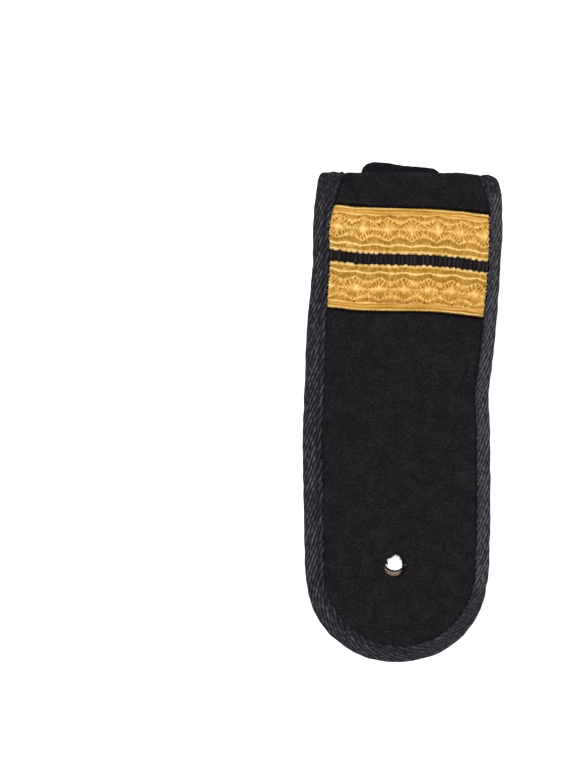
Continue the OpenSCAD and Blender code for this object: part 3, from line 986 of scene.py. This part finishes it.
def cutHole(obj, hole, heights, ragged, seed, outline=None):
    # finer faces round the hole first, then the hole, its edge drawn onto its line
    centre, radius = hole[:2], max(hole[2:])

    def polar(points):
        d = points[:, :2] - centre
        return np.hypot(d[:, 0], d[:, 1]), np.arctan2(d[:, 1], d[:, 0])

    def inLayer(points):
        return (points[:, 2] > heights[0]) & (points[:, 2] < heights[1])

    def edgeAt(a):
        if outline:
            line = np.interp(np.degrees(a), *zip(*outline), period=360)
        else:
            line = hole[2] * hole[3] / np.hypot(hole[3] * np.cos(a), hole[2] * np.sin(a))
        return line + ragged * (0.5 * np.sin(a * 5 + seed) + 0.35 * np.sin(a * 11 + 2 * seed) + 0.25 * np.sin(a * 19))

    def chooseFaces(beyond, finer):
        co = getPoints(obj)
        middle = np.array([co[list(f.vertices)].mean(0) for f in obj.data.polygons])
        r, a = polar(middle)
        chosen = inLayer(middle) & (r < (radius if finer else edgeAt(a)) + beyond)
        pick(obj)
        bpy.ops.object.mode_set(mode="EDIT")
        bpy.ops.mesh.select_mode(type="FACE")
        bpy.ops.mesh.select_all(action="DESELECT")
        endEdit()
        obj.data.polygons.foreach_set("select", chosen)
        bpy.ops.object.mode_set(mode="EDIT")

    for beyond in (1.5, 0.7):
        chooseFaces(beyond, True)
        bpy.ops.mesh.subdivide(number_cuts=1)
        endEdit()
    chooseFaces(0.0, False)
    bpy.ops.mesh.delete(type="FACE")
    selectOpenEdges()
    endEdit()
    # walk round the opening, even out the steps of the grid and lay them on the line
    co = getPoints(obj)
    r, a = polar(co)
    rim = (r < radius + 1.0) & inLayer(co)
    beside = {}
    for e in obj.data.edges:
        i, j = e.vertices
        if e.select and rim[i] and rim[j]:
            beside.setdefault(i, []).append(j)
            beside.setdefault(j, []).append(i)
    walk = [min(beside)]
    while True:
        onward = [j for j in beside[walk[-1]] if j not in walk[-2:] and (j != walk[0] or len(walk) < 3)]
        if not onward or onward[0] in walk:
            break
        walk.append(onward[0])
    turn = np.unwrap(a[walk])
    even = turn[0] + np.linspace(0, math.copysign(2 * math.pi, turn[-1] - turn[0]), len(walk) + 1)[:-1]
    off = turn - even
    for _ in range(3):
        off = (np.roll(off, 1) + off + np.roll(off, -1)) / 3
    turn = even + off
    line = edgeAt(turn)
    co[walk, 0] = centre[0] + line * np.cos(turn)
    co[walk, 1] = centre[1] + line * np.sin(turn)
    setPoints(obj, co)


def makeCover():
    r = cover["foldRadius"]
    low = board["tip"] + board["coverIn"]
    top = foldY - r
    faceRun = top - low
    turn = math.pi * r
    # rows of the grid, closer together beside the gold bars
    trial = np.arange(0, 2 * faceRun + turn, 0.02)
    close = np.zeros(len(trial), bool)
    for first, last in cover["grooves"]:
        close |= (trial + low > first) & (trial + low < last)
    density = np.cumsum(np.where(close, 1 / cover["fine"], 1 / cover["cell"])) * 0.02
    t = np.interp(np.linspace(0, density[-1], int(density[-1]) + 1), density, trial)
    t[0], t[-1] = 0, 2 * faceRun + turn
    phi = np.clip((t - faceRun) / r, 0, math.pi)
    y = np.where(t <= faceRun, low + t,
                 np.where(t <= faceRun + turn, top + r * np.sin(phi), top - (t - faceRun - turn)))
    z = board["coverLow"] + r + r * np.cos(phi)
    left, right = coverHalfWidths(y, (t > faceRun - 0.45) & (t < faceRun + turn + 0.45))
    x = left[:, None] + (right - left)[:, None] * np.linspace(0, 1, cover["columns"] + 1)[None]
    y, z, phi, face = (np.broadcast_to(a[:, None], x.shape).copy() for a in (y, z, phi, t < faceRun))
    # the fold's own line, a little lumpy and lower at the right
    near = smoothStep(y, top - 3, foldY)
    y += near * (foldDip(x) + uneven(cover["foldLumps"], x) * np.sin(phi))
    # pulled down along the tape, soft unevenness elsewhere
    toLip = np.minimum(x - lipLineX(y, -1), lipLineX(y, 1) - x)
    pull = cover["pull"] * np.exp(-np.clip(toLip, 0, 50) / cover["pullWidth"]) * (1 - near)
    noise = cover["unevenness"] * (softNoise(x, y + z * 3, 9.0, 1) + 0.6 * softNoise(x, y + z * 3, 3.1, 2))
    z += np.sign(np.cos(phi)) * (-pull + noise * (1 - near))
    # a groove beside the braid; painted shadow beside the braid, and along the tape's inner edge and under it
    above = (y - ribMiddle(x)) / np.sqrt(1 + ribSlope(x)**2)
    beside = np.where(above > 0, above - reachUpper(x), -above - reachLower(x))
    z -= cover["groove"] * smoothStep(beside, 0.9, 0.3) * (beside > -1.0) * face
    atBraid = smoothStep(beside, 0.95, 0.25) * face * (toLip > -1)
    atLip = smoothStep(toLip, 0.7, 0.0) * np.where(x > 0, 0.4, 0.15 + 0.75 * smoothStep(y, 51, 57))
    # and darker in a ring beside the hole, on its right
    hx, hy = board["faceHole"][:2]
    distance, width, strength = cover["ring"]
    ring = bell(np.hypot(x - hx, y - hy), distance, width) * smoothStep(x, hx, hx + 2.0) * face
    pressed = np.maximum(np.clip(np.maximum(atBraid, atLip), 0, 1), strength * ring)
    obj = gridPiece("woolCover", np.stack([x, y, z], -1))
    setMasks(obj, pressed=pressed)
    mergePoints(obj, 2e-5)
    cutHole(obj, board["faceHole"], (cover["midHeight"], 99), cover["ragged"], 1.0, board["faceLine"])
    cutHole(obj, board["backHole"], (-99, cover["midHeight"]), cover["ragged"] * 0.3, 2.0)
    if obj.data.polygons[len(obj.data.polygons) // 4].normal.z < 0:
        startEdit(obj)
        bpy.ops.mesh.flip_normals()
        endEdit()
    applyModifier(obj, "SOLIDIFY", thickness=cover["thick"] * mm, offset=-1.0, use_even_offset=False)
    return finishPiece(obj, 50, woolCover, "cover_cloth", "cloth_cover")


woolCoverPiece = makeCover()
print("cover:", len(woolCoverPiece.data.polygons), "faces")


def makeCard():
    # the stiffener's own shape, its opening cut by hand a little off the cloth's
    obj = bpy.data.objects.new("pulpBoard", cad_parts["stiffener"].data.copy())
    bpy.context.scene.collection.objects.link(obj)
    co = getPoints(obj)
    d = co[:, :2] - board["hole"]
    rim = np.hypot(d[:, 0], d[:, 1]) < board["holeRadius"] + 0.2
    a = np.arctan2(d[rim, 1], d[rim, 0])
    cx, cy, wide, high = board["cardHole"]
    rough = 1 + 0.012 * np.sin(a * 5) + 0.008 * np.sin(a * 13)
    co[rim, 0] = cx + wide * rough * np.cos(a)
    co[rim, 1] = cy + high * rough * np.sin(a)
    setPoints(obj, co)
    return finishPiece(obj, 40, card, "card", "stiffener")


cardPiece = makeCard()
print("card:", len(cardPiece.data.polygons), "faces")


def betweenLips(above, n, gaps):
    # positions along the braid from lip to lip for every distance above the middle line
    ends = []
    for side, gap, first in zip((-1, 1), gaps, (-18.0, 22.0)):
        u = np.full(len(above), first)
        for _ in range(6):
            x, y = braidPlace(u, above)
            u = u + (lipLineX(y, side) - side * gap - x)
        ends.append(u)
    return ends[0][:, None] + (ends[1] - ends[0])[:, None] * np.linspace(0, 1, n + 1)[None]


def strokeField(u, v, strokes):
    # soft short strokes: place along, place across, half length, half width, lean, strength
    field = np.zeros_like(u)
    step = (u[0, -1] - u[0, 0]) / (u.shape[1] - 1)
    near = int(1.9 / step)
    for su, sv, long, wide, lean, strength in strokes:
        i0, i1 = np.searchsorted(v[:, 0], (sv - 1.5, sv + 1.5))
        if i0 == i1:
            continue
        j = int((su - u[i0, 0]) / step)
        j0, j1 = max(j - near, 0), min(j + near, u.shape[1])
        if j0 >= j1:
            continue
        du, dv = u[i0:i1, j0:j1] - su, v[i0:i1, j0:j1] - sv
        a = du * math.cos(lean) + dv * math.sin(lean)
        b = dv * math.cos(lean) - du * math.sin(lean)
        spot = strength * np.exp(-np.abs(a / long) ** 3 - np.abs(b / wide) ** 3)
        field[i0:i1, j0:j1] = np.maximum(field[i0:i1, j0:j1], spot)
    return field


def braidStrokes(stars, faint, r):
    # the dark gaps, where the dark base shows with painted shade, and the pale floats between them, raised and given
    # painted highlight, fanning out of every star
    dark, pale = [], []
    halves = np.diff(stars) / 2
    for k, star in enumerate(stars):
        for down, table, soft in ((-1, braid["strokesAbove"], 1 - faint), (1, braid["strokesBelow"], 1.0)):
            for side in (-1, 1):
                half = halves[max(k - 1, 0)] if side < 0 else halves[min(k, len(halves) - 1)]
                last = None
                for share, away, long, wide, lean, depth in table:
                    lean = math.radians(lean)
                    angle = math.atan2(down * math.cos(lean), side * math.sin(lean))
                    x, y = star + side * share * half, braid["middle"] + down * away
                    # the strokes at both ends of a row are shared with the next row
                    if not ((share == 0 and side > 0) or (share == 1 and side < 0)):
                        dark.append((x + r.uniform(-0.09, 0.09), y + r.uniform(-0.06, 0.06),
                                     long * r.uniform(0.85, 1.15), wide * r.uniform(0.9, 1.15), angle,
                                     depth * soft * r.uniform(0.75, 1.2)))
                    if last:
                        outX = (math.cos(angle) + math.cos(last[2])) / 2
                        outY = (math.sin(angle) + math.sin(last[2])) / 2
                        pale.append(((x + last[0]) / 2 + outX * braid["floatOut"],
                                     (y + last[1]) / 2 + outY * braid["floatOut"],
                                     braid["floatLong"] * r.uniform(0.8, 1.2), braid["floatWide"],
                                     math.atan2(outY, outX), braid["floatLight"] * r.uniform(0.6, 1.3)))
                    last = (x, y, angle)
        for i in range(-2, 3):
            pale.append((star + i * braid["weft"] * 0.95 + r.uniform(-0.07, 0.07),
                         braid["middle"] + 0.15 + r.uniform(-0.15, 0.15), 1.25 - 0.35 * abs(i), 0.15, math.pi / 2,
                         (0.38 - 0.10 * abs(i)) * r.uniform(0.6, 1.2)))
    return dark, pale


def braidPattern(u, v, bar, r):
    # what the weave is like at each place: tone, relief, tint, thread count across, run along, quiet places
    stars, weft = bar["stars"], braid["weft"]
    k = np.interp(u, stars, np.arange(len(stars)))
    q = k - np.floor(k)
    wave = 0.7 * np.sin(math.pi * q) + 0.15 - 0.15 * np.cos(2 * math.pi * q)
    tone, relief, tint = np.zeros_like(v), np.zeros_like(v), np.zeros_like(v)
    bands = braid["bands"]
    for a, b in zip(bands, bands[1:]):
        start, end = a[0] + (a[1] - a[0]) * wave, b[0] + (b[1] - b[0]) * wave
        t = (v - start) / (end - start)
        here = (t >= 0) & (t < 1)
        e = smoothStep(t, 0, 1)
        toneA, toneB = a[2] + (a[3] - a[2]) * wave, b[2] + (b[3] - b[2]) * wave
        tone = np.where(here, toneA + (toneB - toneA) * e, tone)
        relief = np.where(here, a[4] + (b[4] - a[4]) * e, relief)
        tint = np.where(here, a[5] + (b[5] - a[5]) * e, tint)
    over = v >= bands[-1][0]
    tone, relief, tint = (np.where(over, bands[-1][i], x) for i, x in ((2, tone), (4, relief), (5, tint)))
    dark, pale = braidStrokes(stars, bar["faint"], r)
    gaps, floats = strokeField(u, v, dark), strokeField(u, v, pale)
    # threads cross the bar in its woven part and run along it in the selvedge
    woven = smoothStep(v, braid["selvedge"] - 0.3, braid["selvedge"] + 0.3)
    thread = np.where(woven > 0.5, weaveNoise(u, v, weft, braid["weftRun"], 71), 1.2 * weaveNoise(v, u, 0.3, 5.0, 72))
    half = weaveNoise(u + 0.11, v, weft / 2, 0.6, 73)
    frac = u / weft - np.floor(u / weft) - 0.5
    back = (1 - (2 * frac) ** 2) * woven - 0.6 * woven
    fromStar = np.minimum(q, 1 - q) * 6.6
    shaded = bar["faint"] * bell(fromStar, 0, 1.5) * smoothStep(v, 3.0, 3.6) * smoothStep(v, 5.3, 4.5)
    # the gaps add painted shade, the floats and the weft threads' rounded backs painted highlight, on top of each
    # thread's own uneven tone
    tone = tone - gaps + floats * (1 - gaps * 1.5) + 0.18 * thread + 0.14 * half * woven + 0.09 * back - 0.3 * shaded
    relief = relief - 0.8 * gaps + 0.4 * floats + 0.06 * back + 0.03 * thread
    tint = np.clip(tint + 0.5 * shaded + 0.06 * half, 0, 1)
    corded = v < braid["cordedTo"]
    across = np.where(corded, v / 0.40, u / weft)
    return tone, relief, tint, across, np.where(corded, u, v), bell(v, braid["cordedTo"], 0.14)


def wovenPiece(name, x, y, z, base, **masks):
    # a woven strip with a skirt down to the cloth all round
    p = np.pad(np.stack([x, y, z], -1), ((1, 1), (1, 1), (0, 0)), mode="edge")
    for edge in (p[0], p[-1], p[:, 0], p[:, -1]):
        edge[:, 2] = base
    obj = gridPiece(name, p)
    setMasks(obj, **{key: np.pad(values, 1, mode="edge") for key, values in masks.items()})
    fillOpenings(obj)
    return obj


def makeBar(name, bar, reach, node):
    width, sign = braid["width"], bar["sign"]
    drawSeed, wanderSeed, endSeed = bar["seeds"]
    v = np.linspace(0, width, int(width / braid["across"]) + 1)
    meanReach = float(np.mean(course[1:8, bar["column"]]))
    u = betweenLips(sign * (meanReach - v), int(braid["length"] / braid["step"]), braid["lipGap"])
    v = np.broadcast_to(v[:, None], u.shape).copy()
    r = np.random.default_rng(drawSeed)
    wander = uneven((0.09, 5.0, wanderSeed), u, v * 2)
    tone, relief, tint, across, along, quiet = braidPattern(u + wander * 2, v + wander, bar, r)
    # the running stitch goes down in small holes, dipped and painted dark as shade
    stitched = strokeField(u, v, [(h, braid["stitchRow"], 0.2, 0.2, 0.0, 0.75) for h in bar["holes"]])
    tone, relief = tone - stitched, relief - 0.7 * stitched
    # loops reach over the rib
    places = np.arange(-24, 27, braid["loopPitch"])
    places = places + r.uniform(-0.33, 0.33, len(places))
    loops = np.zeros_like(u)
    for place, high in zip(places, r.uniform(0.25, 1.0, len(places))):
        loops = np.maximum(loops, high * np.exp(-((u - place) / 0.55) ** 4))
    outerShare = np.clip((v - braid["loopFrom"]) / (width - braid["loopFrom"]), 0, 1)
    edges = outerShare + (1 - np.clip(v / 0.6, 0, 1))
    real = v + outerShare * braid["loopReach"] * (loops - 0.5) + uneven((0.05, 1.1, 33), u) * edges
    tone += outerShare * 0.4 * (loops - 0.6)
    relief += outerShare * 0.16 * (loops - 0.6)
    tone += uneven((0.05, 2.6, 9), u, v) - bar["darker"]
    # pale frayed ends
    ends = np.minimum(u - u[:, :1], u[:, -1:] - u)
    frayed = bell(ends, 0, 0.35)
    tone += 0.3 * frayed * (0.5 + uneven((0.5, 0.9, 35), 0.0, v))
    tint = np.clip(tint - 0.6 * frayed, 0, 1)
    reachNow = reach(u) * np.cos(np.arctan(ribSlope(u)))
    x, y = braidPlace(u, sign * (reachNow - real * (reachNow - braid["inner"]) / width))
    x = x + uneven((0.16, 0.7, endSeed), 0.0, v) * bell(ends, 0, 0.5)
    z = braid["base"] + braid["skirt"] + (braid["high"] - braid["skirt"]) * np.clip(relief, 0, 1.05)
    z -= 0.35 * bell(ends, 0, 0.22)
    obj = wovenPiece(name, x, y, z, braid["base"], relief=tone, tint=tint, across=across, along=along, quiet=quiet)
    return finishPiece(obj, 75, goldBraid, "gold_braid", node)


upperBraid = makeBar("upperBraid", braid["upper"], reachUpper, "upper_bar")
lowerBraid = makeBar("lowerBraid", braid["lower"], reachLower, "lower_bar")
print("gold bars:", len(upperBraid.data.polygons) + len(lowerBraid.data.polygons), "faces")

rib = {
    "half": 1.5, "length": 41.5, "step": 0.11, "rows": 24, "cord": 1.12, "high": 0.66, "cordHigh": 0.16,
    "cordFull": 0.95, "base": 4.42, "lipGap": (0.1, 0.1), "wander": (0.22, 4.0, 41),
}


def makeRib():
    above = np.linspace(-rib["half"], rib["half"], rib["rows"] + 1)
    u = betweenLips(above, int(rib["length"] / rib["step"]), rib["lipGap"])
    a = np.broadcast_to(above[:, None], u.shape)
    phase = (u + uneven(rib["wander"], u, a * 0.3)) / rib["cord"]
    cord = threadRise(phase - np.round(phase), rib["cordFull"])
    edge = np.clip((rib["half"] - np.abs(a)) / 0.35, 0, 1)
    x, y = braidPlace(u, a + 0.07 * np.sign(a) * (cord - 0.6) * (1 - edge))
    z = rib["base"] + (rib["high"] + rib["cordHigh"] * (cord - 1)) * np.sqrt(np.clip(edge, 0.02, 1))
    dim = np.random.default_rng(42).uniform(0.5, 1.0, 97)[np.round(phase).astype(int) % 97]
    # the cords' tops are painted lighter than the hollows between them, and both edges of the rib painted darker, as
    # shadow beside the gold bars
    tone = (0.03 + 0.82 * cord ** 2.2 * dim) * smoothStep(np.abs(a), 1.5, 0.9) * (1 + uneven((0.2, 0.8, 43), u, a))
    obj = wovenPiece("blackRib", x, y, z, rib["base"], relief=tone, across=a / 0.28, along=u)
    return finishPiece(obj, 75, blackRib, "black_rib", "centre_rib")


ribPiece = makeRib()
print("rib:", len(ribPiece.data.polygons), "faces")

# the strap under the board, its sewn end past the fold and its free end round about its own hole
strap = {
    "width": 21.0, "side": -0.5, "cell": 0.5, "thick": 0.8, "holeRadius": 3.75, "cornerLeft": 3.2, "cornerRight": 1.6,
    "bevel": 0.22, "top": 66.6,
    "topLine": [
        (-11.2, 66.6), (-8.8, 66.7), (-5.1, 66.62), (-1.5, 66.02), (2.0, 65.6), (5.9, 65.28), (8.7, 64.95),
        (10.2, 64.5),
    ],
}
strapTop = smoothLine(*zip(*strap["topLine"]))


def strapMiddle(y):
    hx, hy = board["hole"]
    return hx + (strap["side"] - hx) * smoothStep(y, hy, strap["top"])


def makeStrap():
    half, top = strap["width"] / 2, strap["top"]
    hx, hy = board["hole"]
    low = hy - half
    flatY = np.linspace(low, top, int((top - low) / strap["cell"]) + 1)
    middle = strapMiddle(flatY)
    chord = np.sqrt(np.maximum(half**2 - np.minimum(flatY - hy, 0) ** 2, 0.0004))
    left, right = middle - chord, middle + chord
    fromTop = top - flatY
    rl, rr = strap["cornerLeft"], strap["cornerRight"]
    left += rl - np.sqrt(np.maximum(rl**2 - np.maximum(rl - fromTop, 0) ** 2, 0))
    right -= rr - np.sqrt(np.maximum(rr**2 - np.maximum(rr - fromTop, 0) ** 2, 0))
    f = np.linspace(0, 1, int(strap["width"] / strap["cell"]) + 1)
    left, right, flatY, fromTop = (a[:, None] for a in (left, right, flatY, fromTop))
    x = left + (right - left) * f
    y = flatY + (strapTop(x) - top) * smoothStep(flatY, 50, top)
    edge = np.minimum(np.minimum(x - left, right - x), fromTop)
    edge = np.where(flatY < hy, half - np.hypot(x - hx, flatY - hy), edge)
    # turned edges lie a little thicker, with a row of stitches that draws them down
    z = 0.93 + 0.08 * smoothStep(edge, 1.6, 0.9) - 0.10 * bell(edge, 1.7, 0.25) - 0.3 * bell(edge, 0, 0.3)
    z += uneven((0.03, 7.0, 51), x, y) + uneven((0.02, 2.3, 52), x, y)
    x = x + uneven((0.05, 2.7, 53), y) * smoothStep(np.abs(f - 0.5), 0.42, 0.5)
    y = y + uneven((0.06, 2.6, 54), x) * smoothStep(flatY, 64.5, top)
    obj = gridPiece("underStrap", np.stack([x, y, z], -1))
    mergePoints(obj, 2e-5)
    cutHole(obj, (hx, hy, strap["holeRadius"], strap["holeRadius"]), (-99, 99), 0.02, 3.0)
    applyModifier(obj, "SOLIDIFY", thickness=strap["thick"] * mm, offset=-1.0)
    applyModifier(obj, "BEVEL", width=strap["bevel"] * mm, segments=2, limit_method="ANGLE",
                  angle_limit=math.radians(60))
    restOnFloor(obj)
    return finishPiece(obj, 60, woolStrap, "strap_cloth", "under_strap")


strapPiece = makeStrap()
print("strap:", len(strapPiece.data.polygons), "faces")

# loose wool: a nap over the open cloth, a fringe on the fold, tufts in the hole, and pale lint
nap = {
    "face": 4600, "top": 900, "back": 2100, "fold": 420, "thick": 0.04, "long": (0.5, 1.5), "lift": (0.0, 0.35),
    "hole": 150, "lint": 10,
    # X, Y, count
    "tufts": [
        (-3.5, -38.9, 20), (-4.5, -39.8, 22), (-2.9, -38.3, 14), (0.1, -39.7, 30), (0.2, -40.9, 30), (0.0, -42.1, 18),
    ],
    "speck": (0.6, -40.6, 26),
}
upward = np.array([0, 0, 1.0])


def openCloth(x, y, face):
    # true where the cover shows on the face or the back
    if min(x - float(lipLineX(y, -1)), float(lipLineX(y, 1)) - x) < 0.25:
        return False
    if not face:
        return abs(x - strap["side"]) > strap["width"] / 2 - 1.5 or y < board["hole"][1] - strap["width"] / 2 + 1
    above = y - float(ribMiddle(x))
    if -float(reachLower(x)) - 0.3 < above < float(reachUpper(x)) + 0.3:
        return False
    hx, hy, wide, high = board["faceHole"]
    return math.hypot(x - hx, y - hy) > high + 0.2


def makeNap():
    r = np.random.default_rng(81)
    spots = []
    for count, face, low in ((nap["face"], True, -65), (nap["top"], True, 55), (nap["back"], False, -65)):
        made = 0
        while made < count:
            x, y = r.uniform(-24, 24), r.uniform(low, 62.5)
            if not openCloth(x, y, face):
                continue
            at, normal = castUpright(woolCoverPiece, x, y, face)
            if at is None:
                continue
            along = fibreAlong(normal, r.uniform(*nap["lift"]), r)
            long, thick = r.uniform(*nap["long"]), nap["thick"] * r.uniform(0.6, 1.2)
            spots.append(placement(along, normal, at - normal * 0.02, (long, thick, thick)))
            made += 1
    for _ in range(nap["fold"]):
        x, z = r.uniform(-15, 20), r.uniform(1.5, 4.1)
        at, normal = castOn(woolCoverPiece, (x, 75, z), (0, -1, 0))
        if at is None:
            continue
        along = fibreAlong(normal, r.uniform(0.1, 0.9), r)
        spots.append(placement(along, normal, at - normal * 0.02, (r.uniform(0.4, 0.9), nap["thick"], nap["thick"])))
    return finishPiece(scatter("coverNap", fibreSeeds(), spots), 80, fibreWool, "cover_cloth")


def makeHoleFibres():
    r = np.random.default_rng(82)
    hx, hy, wide, high = board["faceHole"]
    spots = []
    for _ in range(nap["hole"]):
        a = r.uniform(0, 2 * math.pi)
        place = np.array([hx + wide * math.cos(a), hy + high * math.sin(a), r.uniform(3.5, 4.15)])
        inward = np.array([-math.cos(a), -math.sin(a), r.uniform(-0.25, 0.1)])
        along = fibreAlong(upward, r.uniform(-0.3, 0.15), r, inward, 0.6)
        thick = r.uniform(0.03, 0.06)
        spots.append(placement(along, upward, place - inward * 0.2, (r.uniform(0.35, 1.0), thick, thick)))
    for tx, ty, count in nap["tufts"]:
        inward = np.array([hx - tx, hy - ty, 0.0])
        inward /= np.linalg.norm(inward)
        for _ in range(count):
            place = np.array([tx + r.normal(0, 0.3), ty + r.normal(0, 0.3), r.uniform(3.5, 4.1)]) - inward * 0.3
            along = fibreAlong(upward, r.uniform(-0.3, 0.1), r, inward, 0.6)
            thick = r.uniform(0.05, 0.09)
            spots.append(placement(along, upward, place, (r.uniform(0.4, 0.9), thick, thick)))
    return finishPiece(scatter("holeFibres", fibreSeeds(), spots), 80, fibreWool, "cover_cloth")


def makeLint():
    r = np.random.default_rng(83)
    spots = []
    while len(spots) < nap["lint"]:
        x, y, face = r.uniform(-22, 22), r.uniform(-62, 62), len(spots) % 3 > 0
        if not openCloth(x, y, face):
            continue
        at, normal = castUpright(woolCoverPiece, x, y, face)
        along = fibreAlong(normal, 0.03, r)
        spots.append(placement(along, normal, at + normal * 0.02, (r.uniform(0.8, 2.2), 0.035, 0.035)))
    # a pale speck beside the hole
    sx, sy, count = nap["speck"]
    for _ in range(count):
        at, normal = castUpright(woolCoverPiece, sx + r.normal(0, 0.07), sy + r.normal(0, 0.09))
        if at is not None:
            along = fibreAlong(normal, 0.3, r)
            spots.append(placement(along, normal, at, (r.uniform(0.15, 0.35), 0.06, 0.06)))
    return finishPiece(scatter("paleLint", fibreSeeds(), spots), 80, lintThread, "cover_cloth")


bpy.context.view_layer.update()
napPiece = makeNap()
holeFibres = makeHoleFibres()
lintPiece = makeLint()
print("loose wool:", len(napPiece.data.polygons) + len(holeFibres.data.polygons), "faces")

# stitches: along the tape's inner edges, through the braid, round the strap and its buttonhole
stitch = {
    "shape": (0.0, 0.75, 1.0, 0.95, 0.75, 0.0), "pitch": 2.45, "long": 1.5, "thick": 0.26, "fromLip": 1.5,
    "braidShape": (0.0, 0.6, 0.9, 1.0, 1.0, 0.95, 0.9, 0.6, 0.0), "braidThick": 0.3, "braidHeight": 5.17,
    "strapPitch": 2.6, "strapLong": 1.7, "strapIn": 1.7, "strapThick": (0.34, 0.2), "under": 0.13,
    "holeCount": 60, "holeRing": (3.7, 5.0), "holeThick": (0.36, 0.22),
}


def makeBindingStitches():
    outer, out, lip, side, zone, s = tapeStations()
    spots = []
    for face in (True, False):
        for at in np.arange(2.0, s[-1] - 2, stitch["pitch"]):
            i = int(np.searchsorted(s, at))
            if zone[i] == 2:
                continue
            way = np.append(lip[min(i + 3, len(lip) - 1)] - lip[max(i - 3, 0)], 0)
            place, normal = castUpright(binding, *(lip[i] + out[i] * stitch["fromLip"]), face)
            if place is None or np.linalg.norm(way) < 0.2:
                continue
            way /= np.linalg.norm(way)
            up = upward if face else -upward
            place = place - way * stitch["long"] / 2 + up * (0.0 if face else -stitch["thick"] / 2)
            spots.append(placement(way, up, place, (stitch["long"], stitch["thick"], stitch["thick"] * 0.8)))
    obj = scatter("bindingStitches", [threadSeed(stitch["shape"], 6, 0.25)], spots)
    return finishPiece(obj, 80, darkThread, "twill_tape")


def makeBraidStitches():
    # a stitch joins two holes that are close, and ends alone in any other
    spots = []
    for bar, reach in ((braid["upper"], reachUpper), (braid["lower"], reachLower)):
        holes = bar["holes"]
        runs = [(a, b) for a, b in zip(holes, holes[1:]) if b - a < 5.2]
        runs += [(h - 2.3, h) for h in holes if not any(abs(b - h) < 0.01 for a, b in runs)]
        for a, b in runs:
            above = bar["sign"] * (float(reach((a + b) / 2)) - braid["stitchRow"] * 0.985)
            ends = [np.array([*braidPlace(u, above), stitch["braidHeight"]]) for u in (a + 0.1, b - 0.1)]
            way = ends[1] - ends[0]
            scale = (np.linalg.norm(way), stitch["braidThick"], stitch["braidThick"] * 0.7)
            spots.append(placement(way, upward, ends[0], scale))
    obj = scatter("braidStitches", [threadSeed(stitch["braidShape"], 6, 0.5)], spots)
    return finishPiece(obj, 80, goldThread, "gold_braid")


def makeGoldFrays():
    # ends of gold thread that stand out at both ends of the bars
    r = np.random.default_rng(84)
    spots = []
    for sign, reach in ((1, reachUpper), (-1, reachLower)):
        for side, count in ((-1, 60), (1, 34)):
            for _ in range(count):
                above = np.array([sign * (float(reach(side * 20.0)) - r.uniform(0.5, 12.0))])
                u = betweenLips(above, 1, braid["lipGap"])[0, 0 if side < 0 else 1] - side * r.uniform(0.0, 0.5)
                x, y = braidPlace(u, above[0])
                place = np.array([float(x), float(y), r.uniform(4.75, 5.1)])
                along = np.array([side * 1.0, r.normal(0, 0.5), r.uniform(-0.35, 0.1)])
                thick = r.uniform(0.05, 0.12)
                spots.append(placement(along, upward, place, (r.uniform(0.25, 0.9), thick, thick)))
    return finishPiece(scatter("goldFrays", fibreSeeds(0.35), spots), 80, paleGold, "gold_braid")


def makeStrapStitches():
    hx, hy = board["hole"]
    reach = strap["width"] / 2 - stitch["strapIn"]
    y = np.arange(hy, 61, 0.1)
    a = np.radians(np.arange(180.5, 360, 0.5))
    line = np.vstack([np.column_stack([strapMiddle(y) - reach, y])[::-1],
                      np.column_stack([hx + reach * np.cos(a), hy + reach * np.sin(a)]),
                      np.column_stack([strapMiddle(y) + reach, y])])
    run = np.r_[0, np.cumsum(np.linalg.norm(np.diff(line, axis=0), axis=1))]
    spots = []
    for at in np.arange(1.0, run[-1] - 2.5, stitch["strapPitch"]):
        ends = [np.array([np.interp(d, run, line[:, 0]), np.interp(d, run, line[:, 1]), stitch["under"]])
                for d in (at, at + stitch["strapLong"])]
        spots.append(placement(ends[1] - ends[0], upward, ends[0], (stitch["strapLong"], *stitch["strapThick"])))
    first, last = stitch["holeRing"]
    for a in np.linspace(0, 2 * math.pi, stitch["holeCount"], endpoint=False):
        way = np.array([math.cos(a), math.sin(a), 0])
        place = np.array([hx, hy, stitch["under"]]) + way * first
        spots.append(placement(way, upward, place, (last - first, *stitch["holeThick"])))
    obj = scatter("strapStitches", [threadSeed(stitch["shape"], 6)], spots)
    return finishPiece(obj, 80, darkThread, "strap_cloth")


bindingStitches = makeBindingStitches()
braidStitches = makeBraidStitches()
goldFrays = makeGoldFrays()
strapStitches = makeStrapStitches()
allStitches = (bindingStitches, braidStitches, goldFrays, strapStitches)
print("stitches:", sum(len(o.data.polygons) for o in allStitches), "faces")
